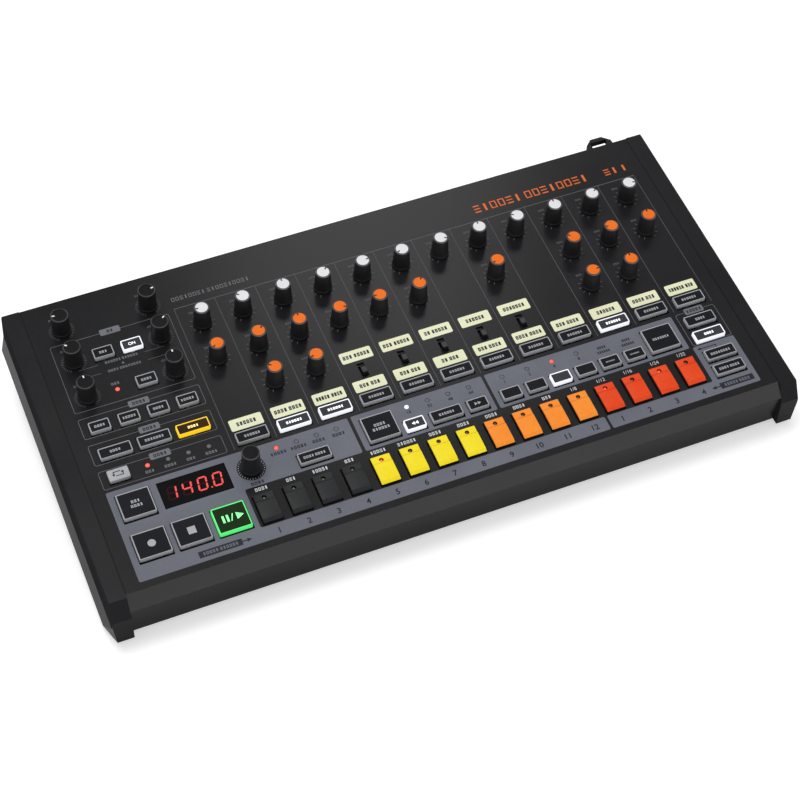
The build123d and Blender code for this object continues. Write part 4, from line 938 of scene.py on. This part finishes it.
# ------------------------------------------------------------------ printed lines and tags
# Thin grey lines part the voice columns and frame the groups on the left. A small tag sits on the top
# line of each frame, with marks where its heading would stand.
line_width = 0.38
frame_corner = 1.6
frame_left = -221.8
frame_right = -137.3
left_frames = ((142.3, 200.9), (120.3, 137.1), (98.0, 114.9), (78.2, 93.0))
right_frame = (zone_split[2][1], 47.2, zone_right - 0.3, 75.7)
divider_rows = (175.4, 168.2)
divider_spans = ((-209.0, -195.5), (-162.5, -149.0))
diamond_v = 171.9
diamond = [(0.0, -1.2), (1.1, 0.0), (0.0, 1.2), (-1.1, 0.0)]
separator_x = -132.6
separator_foot = 78.5
top_line_v = 202.6
tag_size = (14.3, 5.25, 1.0)
tag_places = [(-179.25, 200.9), (-179.25, 137.3), (-179.25, 114.9), (-179.25, 92.6), (205.9, 75.7)]


def frame_line(x0, v0, x1, v1):
    """A thin raised line round a rectangle with round corners."""
    outer = box(x0, v0, x1, v1, frame_corner)
    inner = box(x0 + line_width, v0 + line_width, x1 - line_width, v1 - line_width, frame_corner - line_width)
    return skin([ring(outer, 0.0), ring(outer, ink_film), ring(inner, ink_film), ring(inner, 0.0)], loop=True)


frame_lines = [frame_line(frame_left, low, frame_right, high) for low, high in left_frames]
lay("print_frames", solid([*frame_lines, frame_line(*right_frame)]), line_ink, "case")
dividers = [box(a, row, b, row + line_width * 0.8) for row in divider_rows for a, b in divider_spans]
ink("print_dividers", [*dividers, moved(diamond, section_x, diamond_v)], line_ink)
separators = [box(separator_x, top_line_v, zone_right, top_line_v + line_width * 1.6)]
for i in range(13):
    at = separator_x + column_pitch * i
    separators.append(box(at, separator_foot, at + line_width, top_line_v - 0.1))
ink("print_separators", separators, faint_ink)
ink("print_tags", [plate(x, v, *tag_size) for x, v in tag_places], tag_ink, ink_film, 2 * ink_film)
tag_words = [words(*place, (count,), 2.4) for place, count in zip(tag_places, (2, 4, 4, 4, 5))]
ink("print_tag_marks", sum(tag_words, []), dark_ink, 2 * ink_film, 3 * ink_film)

# ------------------------------------------------------------------ name plates
# Each voice has a cream plate printed above its selector, and five have a second one above their slide
# switch. Dark marks stand where the names would be.
name_plate = (22.75, 9.25, 1.1)
plate_row_v = 96.8
upper_plate_v = 122.2
plate_words = ((6,), (4, 4), (5, 4), (3, 3), (3, 3), (2, 3), (3, 4), (4, 4), (3, 4), (6,), (4, 3), (6, 3))
upper_words = ((3, 5), (3, 5), (2, 5), (6,), (7,))
plates = [(column_x(i + 1), plate_row_v, counts) for i, counts in enumerate(plate_words)]
plates += [(x, upper_plate_v, counts) for x, counts in zip(lever_x, upper_words)]
ink("print_name_plates", [plate(x, v, *name_plate) for x, v, counts in plates], cream_ink)
name_words = [words(x, v, counts, 3.0, 0.78 if sum(counts) < 9 else 0.66) for x, v, counts in plates]
ink("print_name_marks", sum(name_words, []), dark_ink, ink_film, 2 * ink_film)

# ------------------------------------------------------------------ figures and legends
# The steps are numbered under their keys, and the lamps of the length and scale rows carry figures too.
# Other legends are plain rows of marks: dark on the grey areas, pale on the bare coat.
figure_row_v = 10.2
figure_height = 4.3
figure_shift = 1.4
lamp_figure_height = 2.5
key_legend_v = 43.9
key_legend_shift = 1.0
lamp_legend_v = 65.9


def figures(name, marks, surface, low, body="case", thin=0.0):
    """Prints plain figures, given as (text, x, v, height), with strokes made thinner or bolder."""
    work = bmesh.new()
    for text, x, v, height in marks:
        face = bpy.data.curves.new("figures", "FONT")
        face.body = text
        face.offset = thin
        face.extrude = 0.01
        carrier = bpy.data.objects.new("figures", face)
        mesh = bpy.data.meshes.new_from_object(carrier)
        bpy.data.objects.remove(carrier)
        bpy.data.curves.remove(face)
        across_page = [point.co.x for point in mesh.vertices]
        up_page = [point.co.y for point in mesh.vertices]
        middle = (-(min(across_page) + max(across_page)) / 2, -(min(up_page) + max(up_page)) / 2, 0)
        size = height / (max(up_page) - min(up_page))
        scale = Matrix.Diagonal((size, size, ink_film / 0.02, 1))
        mesh.transform(Matrix.Translation((x, v, low + ink_film / 2)) @ scale @ Matrix.Translation(middle))
        work.from_mesh(mesh)
        bpy.data.meshes.remove(mesh)
    film = bpy.data.meshes.new(name)
    work.to_mesh(film)
    work.free()
    lay(name, film, surface, body)


dark_figures = [(str(i % 12 + 1), x + figure_shift, figure_row_v, figure_height) for i, x in enumerate(key_x)]
lamp_rows = [(16 * (i + 1), lamp) for i, lamp in enumerate(length_lamps)]
lamp_rows += [(2**i, lamp) for i, lamp in enumerate(scale_lamps)]
dark_figures += [(str(number), x, lamp_legend_v, lamp_figure_height) for number, (x, v) in lamp_rows]
figures("print_figures", dark_figures, dark_ink, ink_film, thin=0.018)
fractions = zip(("1/8", "1/12", "1/16", "1/24", "1/32"), key_x[11:])
key_fractions = [(text, x + key_legend_shift, key_legend_v, 2.7) for text, x in fractions]
figures("print_fractions", key_fractions, pale_ink, 0.0)
on_figure = [("ON", effect_x[1], effect_row_v, 2.3)]
figures("function_buttons_on_legend", on_figure, legend_bright, lens_top - 0.01, "function_buttons", 0.01)

dark_words = [words(x, lamp_legend_v, (count,), 2.3) for (x, v), count in zip(tempo_lamps, (5, 5, 4, 4))]
scale_lines = ((68.9, 4), (65.2, 6))
dark_words += [words(x, v, (count,), 2.0, 0.8) for x in scale_places[4:] for v, count in scale_lines]
dark_words.append(words(encoder_x, 48.9, (4,), 2.4))
ink("print_dark_marks", sum(dark_words, []), dark_ink, ink_film, 2 * ink_film)
key_word_counts = zip(key_x, (4, 3, 5, 3, 5, 6, 4, 4, 4, 4, 3))
pale_words = [words(x + key_legend_shift, key_legend_v, (n,), 2.5, 0.9, 0.2) for x, n in key_word_counts]
ink("print_pale_marks", sum(pale_words, []), pale_ink)
soft_words = [words(x, 82.2, (count,), 2.1) for (x, v), count in zip(sync_lamps, (3, 4, 3, 4))]
soft_words += [words(section_x, 175.8, (6, 6), 1.9), words(section_x, 168.4, (4, 8), 1.9)]
soft_words.append(words(effect_x[0], 157.2, (3,), 2.0))
ink("print_soft_marks", sum(soft_words, []), soft_ink)

# Two banners with arrows and a hooked arrow point out what the number row stands for.
banners = [(-166.0, 10.55, 29.25, 1, (5, 6)), (205.9, 10.4, 25.3, -1, (5, 4))]
banner_half = 2.4
stem_half = 0.4
stem_length = 3.4
point_half = 1.5
point_length = 6.4
banner_shapes = []
for x, v, length, way, counts in banners:
    half = way * length / 2
    stem_end = half + way * stem_length
    upper = [(half, banner_half), (half, stem_half), (stem_end, stem_half), (stem_end, point_half)]
    lower = [(px, -pv) for px, pv in reversed(upper)]
    point = (half + way * point_length, 0.0)
    outline = [(-half, banner_half), *upper, point, *lower, (-half, -banner_half)]
    banner_shapes.append(moved(outline, x, v))
banner_words = [words(x, v, counts, 2.3, 0.92) for x, v, length, way, counts in banners]
ink("print_banners", banner_shapes, dark_ink, ink_film, 2 * ink_film)
ink("print_banner_marks", sum(banner_words, []), grey_ink, 2 * ink_film, 3 * ink_film)
hook_arrow = [(206.5, 41.6), (206.5, 43.9), (195.2, 43.9), (195.2, 44.8), (192.2, 43.6)]
hook_arrow += [(195.2, 42.4), (195.2, 43.3), (205.9, 43.3), (205.9, 41.6)]
ink("print_hook_arrow", [hook_arrow], dark_ink, ink_film, 2 * ink_film)

# Plain orange and grey marks fill the long title places along the rear edge.
title_place = (143.3, 213.2)
number_place = (211.3, 212.4)
subtitle_place = (-103.4, 211.0)
title_words = words(*title_place, (6, 8), 6.6, 0.97, 0.13) + words(*number_place, (2, 1), 5.6, 1.07, 0.14)
ink("print_title_marks", title_words, orange_ink)
ink("print_subtitle_marks", words(*subtitle_place, (8, 10), 3.2, 0.98, 0.15), soft_ink)

# ------------------------------------------------------------------ dial scales
# Round each dial, short strokes mark the 300 degrees that it turns through: eleven on a voice's dials, and
# thirty-one fine ones on the black dials. The encoder has a ring of dots, since it turns for ever.
scale_radius = 7.9
coarse_steps = 10
fine_steps = 30
coarse_width = 0.34
fine_width = 0.22
stroke_length = 2.0
full_turn = 300.0
dot_ring_radius = 8.6
dot_size = 0.42
dot_count = 30


def nodes_tree(name, **sizes):
    """A geometry tree that takes a mesh and named sizes."""
    tree = bpy.data.node_groups.new(name, "GeometryNodeTree")
    tree.interface.new_socket("Geometry", in_out="INPUT", socket_type="NodeSocketGeometry")
    for label, kind in sizes.items():
        tree.interface.new_socket(label, in_out="INPUT", socket_type="NodeSocket" + kind)
    tree.interface.new_socket("Geometry", in_out="OUTPUT", socket_type="NodeSocketGeometry")
    return tree, tree.nodes.new("NodeGroupInput").outputs


def close_tree(tree, geometry, surface):
    """Ends a tree in real geometry with its material."""
    real = add(tree, "GeometryNodeRealizeInstances", {"Geometry": geometry})
    made = add(tree, "GeometryNodeSetMaterial", {"Geometry": real, "Material": surface})
    add(tree, "NodeGroupOutput", {"Geometry": made})


def grow(tree, places, **sizes):
    """Runs a geometry tree on points with the sizes given, and keeps the plain mesh it makes."""
    centres = bpy.data.meshes.new("centres")
    centres.from_pydata([(x, v, 0) for x, v in places], [], [])
    carrier = bpy.data.objects.new("carrier", centres)
    scene.collection.objects.link(carrier)
    modifier = carrier.modifiers.new("tree", "NODES")
    modifier.node_group = tree
    for item in tree.interface.items_tree:
        if item.item_type == "SOCKET" and item.in_out == "INPUT" and item.name in sizes:
            modifier[item.identifier] = sizes[item.name]
    made = bpy.data.meshes.new_from_object(carrier.evaluated_get(bpy.context.evaluated_depsgraph_get()))
    carrier.modifiers.clear()
    bpy.data.objects.remove(carrier)
    return made


scale_kinds = {"Strokes": "Int", "Turn": "Float", "First": "Float", "Radius": "Float", "Stroke": "Vector"}
tree, size = nodes_tree("dial_scale", **scale_kinds)
stroke = add(tree, "GeometryNodeMeshCube", {"Size": size["Stroke"]})
stroke_place = add(tree, "ShaderNodeCombineXYZ", {"Y": size["Radius"], "Z": ink_film / 2})
stroke_out = add(tree, "GeometryNodeTransform", {"Geometry": stroke, "Translation": stroke_place})
stroke_points = add(tree, "GeometryNodePoints", {"Count": size["Strokes"]})
stroke_index = add(tree, "GeometryNodeInputIndex", {})
angle_inputs = {0: stroke_index, 1: size["Turn"], 2: size["First"]}
stroke_angle = add(tree, "ShaderNodeMath", angle_inputs, operation="MULTIPLY_ADD")
stroke_turn = add(tree, "ShaderNodeCombineXYZ", {"Z": stroke_angle})
circle_inputs = {"Points": stroke_points, "Instance": stroke_out, "Rotation": stroke_turn}
one_scale = add(tree, "GeometryNodeInstanceOnPoints", circle_inputs)
all_scales = add(tree, "GeometryNodeInstanceOnPoints", {"Points": size["Geometry"], "Instance": one_scale})
close_tree(tree, all_scales, line_ink)

black_centres = [(x, v) for x, v, angle in black_places]
encoder_centres = [(encoder_x, encoder_v)]
first_turn = math.radians(-full_turn / 2)
coarse_stroke = (coarse_width, stroke_length, ink_film)
fine_stroke = (fine_width, stroke_length, ink_film)
dot = (dot_size, dot_size, ink_film)
coarse = (coarse_steps + 1, math.radians(full_turn / coarse_steps), first_turn, scale_radius, coarse_stroke)
fine = (fine_steps + 1, math.radians(full_turn / fine_steps), first_turn, scale_radius, fine_stroke)
dots = (dot_count, 2 * math.pi / dot_count, 0.0, dot_ring_radius, dot)
for name, centres, surface, (count, turn, first, radius, shape) in (
    ("print_dial_scales", column_centres, line_ink, coarse),
    ("print_fine_scales", black_centres, line_ink, fine),
    ("print_encoder_dots", encoder_centres, pale_ink, dots),
):
    circles = grow(tree, centres, Strokes=count, Turn=turn, First=first, Radius=radius, Stroke=shape)
    lay(name, circles, surface, "case")
dial_marks = [words(x - 4.0, v + 11.0, (3,), 1.6) for x, v in column_centres + black_centres]
ink("print_dial_marks", sum(dial_marks, []), faint_ink)

# ------------------------------------------------------------------ bottom pan and feet
# The pan is a shallow tub of 1 mm steel, coated matt black. Six moulded rubber feet are stuck on it.
# The coat is coarser and duller than the lid's; the rubber is dull all over.
pan_coat = finish("powder_coated_pan_black", "#17171A", "#1F1F22", 1.6, 70.0, 0.012, (0.45, 0.6), 0.2)
foot_rubber = finish("moulded_rubber_black", "#121213", "#1A1A1B", 1.0, 10.0, 0.03, (0.75, 0.9), 0.2)
cover("bottom_pan", pan_coat)
cover("rubber_feet", foot_rubber)

# ------------------------------------------------------------------ rear panel
# A flat 1 mm steel sheet, punched for the sockets and coated like the lid. Short pale marks stand above
# the sockets, where their names would be.
rear_coat = finish("powder_coated_rear_black", *coat_tones, coat_peel, coat_cloud, 0.01, (0.35, 0.45), 0.12)
cover("rear_panel", rear_coat)
rear_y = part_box("rear_panel")[1][1]
facing_rear = Matrix.Rotation(math.pi, 4, "Z") @ Matrix.Rotation(math.pi / 2, 4, "X")
on_rear = Matrix.Translation((0, rear_y, 0)) @ facing_rear @ in_mm
jack_x = [-206.5 + 16.8 * i for i in range(15)]
jack_z = 18.1
mini_x = [43.0 + 11.0 * i for i in range(5)]
din_x = [103.0 + 20.0 * i for i in range(3)]
usb_x = 160.5
power_x = 204.0
rear_legend_z = 30.5
rear_counts = [(x, 3 + i % 3) for i, x in enumerate(jack_x + mini_x + din_x)] + [(usb_x, 3), (power_x, 5)]
rear_legends = [words(-x, rear_legend_z, (count,), 2.0) for x, count in rear_counts]
ink("print_rear_marks", sum(rear_legends, []), pale_ink, place=on_rear)

# ------------------------------------------------------------------ sockets
# The jacks are black nylon blocks with nickel-plated bushes. The small jacks, round data sockets and
# power inlet are black too; the USB socket is a folded tinned shell.
socket_nylon = finish("moulded_nylon_socket", "#141416", "#1B1B1D", 0.8, 12.0, 0.01, (0.4, 0.55), 0.3)
nickel = finish("nickel_plated_brass", "#A9A8A3", "#B8B7B2", 0.5, 6.0, 0.004, (0.22, 0.34), Metallic=1.0)
bush_radius = 4.7
usb_half_width = 6.1
pin_radius = 1.1
power_z = 17.1
small_jacks_end = 95.0


def jack_part(face):
    """The bush stands out behind the sheet and lines the bore."""
    near = min(abs(face.center.x * 1000 - x) for x in jack_x)
    return int(math.hypot(near, face.center.z * 1000 - jack_z) < bush_radius)


def socket_part(face):
    """The USB shell, the small bushes and the power pin are metal."""
    x = face.center.x * 1000
    behind_sheet = (face.center.y - rear_y) * 1000
    if abs(x - usb_x) < usb_half_width:
        return int(behind_sheet < 0.5)
    if abs(x - power_x) < pin_radius:
        return int(abs(face.center.z * 1000 - power_z) < pin_radius)
    return int(behind_sheet > 0.4 and x < small_jacks_end)


share_out(frame["nodes"]["audio_jacks"].data, [socket_nylon, nickel], jack_part)
share_out(frame["nodes"]["data_sockets"].data, [socket_nylon, nickel], socket_part)

# ------------------------------------------------------------------ power rocker and cable hook
# The rocker is moulded in gloss nylon and mirrors a little. The hook is a flat loop of matt nylon,
# screwed on behind the rear edge, and the supply cable is tucked through it.
rocker_nylon = finish("moulded_nylon_rocker", "#121214", "#19191B", 0.9, 9.0, 0.006, (0.25, 0.35), 0.3)
hook_nylon = finish("moulded_nylon_hook", "#161618", "#1D1D1F", 0.8, 10.0, 0.02, (0.45, 0.6), 0.15)
cover("power_rocker", rocker_nylon)
cover("cable_hook", hook_nylon)

# ------------------------------------------------------------------ boards and what they carry
# Both boards are green FR-4, on brass hexagon spacers. Upright potentiometers with nickel bushes and
# square tact switches stand on the upper one; chips, capacitors and a header on the lower.
board_laminate = finish("fr4_solder_mask_green", "#123A22", "#1A4A2C", 1.2, 8.0, 0.012, (0.35, 0.5), 0.4)
brass = finish("turned_brass", "#A88A4A", "#B89A58", 0.6, 5.0, 0.004, (0.25, 0.38), Metallic=1.0)
chip_epoxy = finish("moulded_epoxy_chip", "#131314", "#1A1A1B", 0.8, 6.0, 0.01, (0.5, 0.65), 0.3)
sleeve_film = finish("shrunk_pvc_sleeve", "#1B2440", "#232D4C", 1.0, 6.0, 0.006, (0.3, 0.42), 0.4)
header_nylon = finish("moulded_nylon_cream", "#CFC9B4", "#D9D4C0", 1.0, 8.0, 0.008, (0.45, 0.6))
board_top_z = 0.0116
chip_rise = 0.0021
header_half = 0.0305
header_front_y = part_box("main_board")[0][1] + 0.028
pot_body_top = -4.35
switch_body_top = -6.55


def main_board_part(face):
    """Laminate, then chips, the tall capacitors and the header by height and place."""
    place = face.center
    if place.z < board_top_z + 0.0001:
        return 0
    if abs(place.x) < header_half and place.y > header_front_y:
        return 3
    return 1 if place.z < board_top_z + chip_rise else 2


cover("control_board", board_laminate)
cover("board_supports", brass)
main_surfaces = [board_laminate, chip_epoxy, sleeve_film, header_nylon]
share_out(frame["nodes"]["main_board"].data, main_surfaces, main_board_part)
for node, surfaces, body_top in (
    ("potentiometers", [chip_epoxy, nickel], pot_body_top),
    ("key_switches", [chip_epoxy, header_nylon], switch_body_top),
):
    share_out(frame["nodes"][node].data, surfaces, lambda face: int(panel_height(face) > body_top))

# ------------------------------------------------------------------ screws and nuts
# Pan-head steel screws, zinc plated and blackened, with a cross recess, hold the boards, cheeks, pan
# and rear panel. A thin plated nut clamps every jack.
screw_steel = finish("blackened_zinc_screw", "#2B2B2E", "#38383B", 0.5, 4.0, 0.006, (0.3, 0.45), Metallic=0.7)
screw_sizes = {
    "Head": 2.7,
    "Crown": 2.1,
    "Height": 1.6,
    "Shank": 1.5,
    "Recess": (3.0, 0.6, 2.0),
    "Turned": (0.6, 3.0, 2.0),
}
kinds = {name: "Vector" if isinstance(value, tuple) else "Float" for name, value in screw_sizes.items()}
tree, size = nodes_tree("pan_head_screws", Grip="Float", **kinds)
cone = {"Vertices": 24, "Radius Top": size["Crown"], "Radius Bottom": size["Head"], "Depth": size["Height"]}
screw_head = add(tree, "GeometryNodeMeshCone", cone)
slots = [add(tree, "GeometryNodeMeshCube", {"Size": size[name]}) for name in ("Recess", "Turned")]
cross = add(tree, "GeometryNodeMeshBoolean", {"Mesh 2": slots}, operation="UNION", solver="EXACT")
lift = add(tree, "ShaderNodeCombineXYZ", {"Z": size["Height"]})
cross_up = add(tree, "GeometryNodeTransform", {"Geometry": cross, "Translation": lift})
cut = {"Mesh 1": screw_head, "Mesh 2": cross_up}
head_cut = add(tree, "GeometryNodeMeshBoolean", cut, operation="DIFFERENCE", solver="EXACT")
rod = {"Vertices": 12, "Radius": size["Shank"], "Depth": size["Grip"]}
shank = add(tree, "GeometryNodeMeshCylinder", rod)
half_grip = add(tree, "ShaderNodeMath", {0: size["Grip"], 1: -0.5}, operation="MULTIPLY")
shank_drop = add(tree, "ShaderNodeCombineXYZ", {"Z": half_grip})
shank_low = add(tree, "GeometryNodeTransform", {"Geometry": shank, "Translation": shank_drop})
one_screw = add(tree, "GeometryNodeJoinGeometry", {0: [head_cut, shank_low]})
screws = add(tree, "GeometryNodeInstanceOnPoints", {"Points": size["Geometry"], "Instance": one_screw})
close_tree(tree, screws, screw_steel)

board_under = -11.6
rim_under = -35.4
flange_x = 231.4
flange_under = -18.2
lip_thickness = 1.3
side_rows = (15.0, 118.75, 222.5)
facing_down = Matrix.Rotation(math.pi, 4, "X")
standoffs = [(x, -168.95) for x in (-223.5, -132.65, -14.65, 103.35, 223.5)]
standoffs += [(x, -74.875) for x in (-127.2, -54.28, 43.7)]
standoffs += [(x, -9.7) for x in (-223.5, -111.75, 0.0, 111.75, 223.5)]
rim_screws = [(x, -v) for x in (-225.9, 225.9) for v in side_rows]
rim_screws += [(x, -0.2) for x in (-155.07, 0.0, 155.07)]
main_screws = [(x, y) for x in (-211.3, -72.4, 72.4, 211.3) for y in (42.7, 75.7)]
lip_screws = [(84.59 * (i - 2), 60.18) for i in range(5)]
pan_screws = [(128.6 * (i - 1.5), 6.7) for i in range(4)]
cheek_screws = [(0, v) for v in side_rows]


def from_side(side):
    """Where the screws of one cheek start, at the outside of its flange and pointing inwards."""
    flange = Matrix.Translation((side * flange_x, 0, flange_under))
    return on_panel @ flange @ Matrix.Rotation(-side * math.pi / 2, 4, "Y")


for name, place, points, grip in (
    ("screws_board", on_panel @ Matrix.Translation((0, 0, board_under)) @ facing_down, standoffs, 5.6),
    ("screws_rim", on_panel @ Matrix.Translation((0, 0, rim_under)) @ facing_down, rim_screws, 2.2),
    ("screws_main", Matrix.Translation((0, 0, board_top_z)) @ in_mm, main_screws, 5.6),
    ("screws_lip", on_rear @ Matrix.Translation((0, 0, lip_thickness)), lip_screws, 5.2),
    ("screws_pan", on_rear, pan_screws, 2.0),
    ("screws_cheek_left", from_side(-1), cheek_screws, 5.2),
    ("screws_cheek_right", from_side(1), cheek_screws, 5.2),
):
    piece = lay(name, grow(tree, points, Grip=grip, **screw_sizes), screw_steel, "case", place)
    if name == "screws_board":
        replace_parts(piece, "fasteners")

nut_radius = 6.2
nut_bore = 4.6
nut_height = 2.0
nut_outlines = ((nut_radius, 6), (nut_bore, 24))
nut_rings = [disc(-x, jack_z, radius, steps) for x in jack_x for radius, steps in nut_outlines]
ink("jack_nuts", nut_rings, nickel, 0.0, nut_height, place=on_rear)

# ------------------------------------------------------------------ camera, lights and floor
# A long lens looks down from the front left. One large lamp hangs above, three dim ones give the sheen
# on the panel, the nose and the left cheek, and the floor is plain white paper.
camera = bpy.data.objects.new("camera", bpy.data.cameras.new("camera"))
camera.data.sensor_width = 36.0
camera.data.lens = 90.05
camera.location = (-0.3511, -0.8501, 1.0730)
camera.rotation_euler = [math.radians(a) for a in (40.330, -0.201, -22.462)]
scene.collection.objects.link(camera)
scene.camera = camera


def softbox(name, place, target, width, depth, power):
    """A rectangular studio lamp that faces a point."""
    lamp = bpy.data.lights.new(name, "AREA")
    lamp.shape = "RECTANGLE"
    lamp.size = width
    lamp.size_y = depth
    lamp.energy = power
    holder = bpy.data.objects.new(name, lamp)
    holder.location = place
    holder.rotation_euler = (Vector(target) - Vector(place)).to_track_quat("-Z", "Y").to_euler()
    scene.collection.objects.link(holder)


softbox("key_light", (-0.35, 0.35, 2.2), (0, 0, 0), 0.9, 0.9, 20.5)
softbox("sheen_light", (0.52, 1.12, 1.62), (0.02, 0.1, 0.06), 0.5, 0.62, 5.0)
softbox("low_light", (0.6, -2.3, 0.4), (0, 0, 0.04), 1.7, 0.18, 11.0)
softbox("side_light", (-2.2, -0.5, 0.6), (0, 0, 0.04), 0.8, 0.5, 2.6)


def backdrop(shader_input, tree, plain, seen, mirrored):
    """Sets a strength for light, one for what the camera sees, and one for mirrors and glass."""
    rays = add(tree, "ShaderNodeLightPath", {}).outputs
    clear_rays = {0: rays["Is Glossy Ray"], 1: rays["Is Transmission Ray"]}
    clear = add(tree, "ShaderNodeMath", clear_rays, operation="MAXIMUM")
    shine = add(tree, "ShaderNodeMapRange", {"Value": clear, "To Min": plain, "To Max": mirrored})
    choice = {"Factor": rays["Is Camera Ray"], 2: shine, 3: seen}
    tree.links.new(add(tree, "ShaderNodeMix", choice, data_type="FLOAT").outputs[0], shader_input)


floor_mesh = bpy.data.meshes.new("floor")
floor_mesh.from_pydata([(-4, -4, 0), (4, -4, 0), (4, 4, 0), (-4, 4, 0)], [], [(0, 1, 2, 3)])
floor = bpy.data.objects.new("floor", floor_mesh)
scene.collection.objects.link(floor)
# Seamless studio paper: plain white, and bright enough to the eye to melt into the background.
white = (1, 1, 1, 1)
paper_tones = ("#D9D9DA", "#DCDCDD")
paper = finish("studio_paper_white", *paper_tones, 8.0, 400.0, 0.0, (0.6, 0.7), 0.2, Emission_Color=white)
paper_shader = paper.node_tree.nodes["Principled BSDF"].inputs
backdrop(paper_shader["Emission Strength"], paper.node_tree, 0.0, 0.5, 0.15)
floor_mesh.materials.append(paper)

world = bpy.data.worlds.new("studio")
world.use_nodes = True
scene.world = world
sky = world.node_tree.nodes["Background"].inputs
sky["Color"].default_value = white
backdrop(sky["Strength"], world.node_tree, 0.5, 1.0, 0.8)
scene.view_settings.view_transform = "Standard"
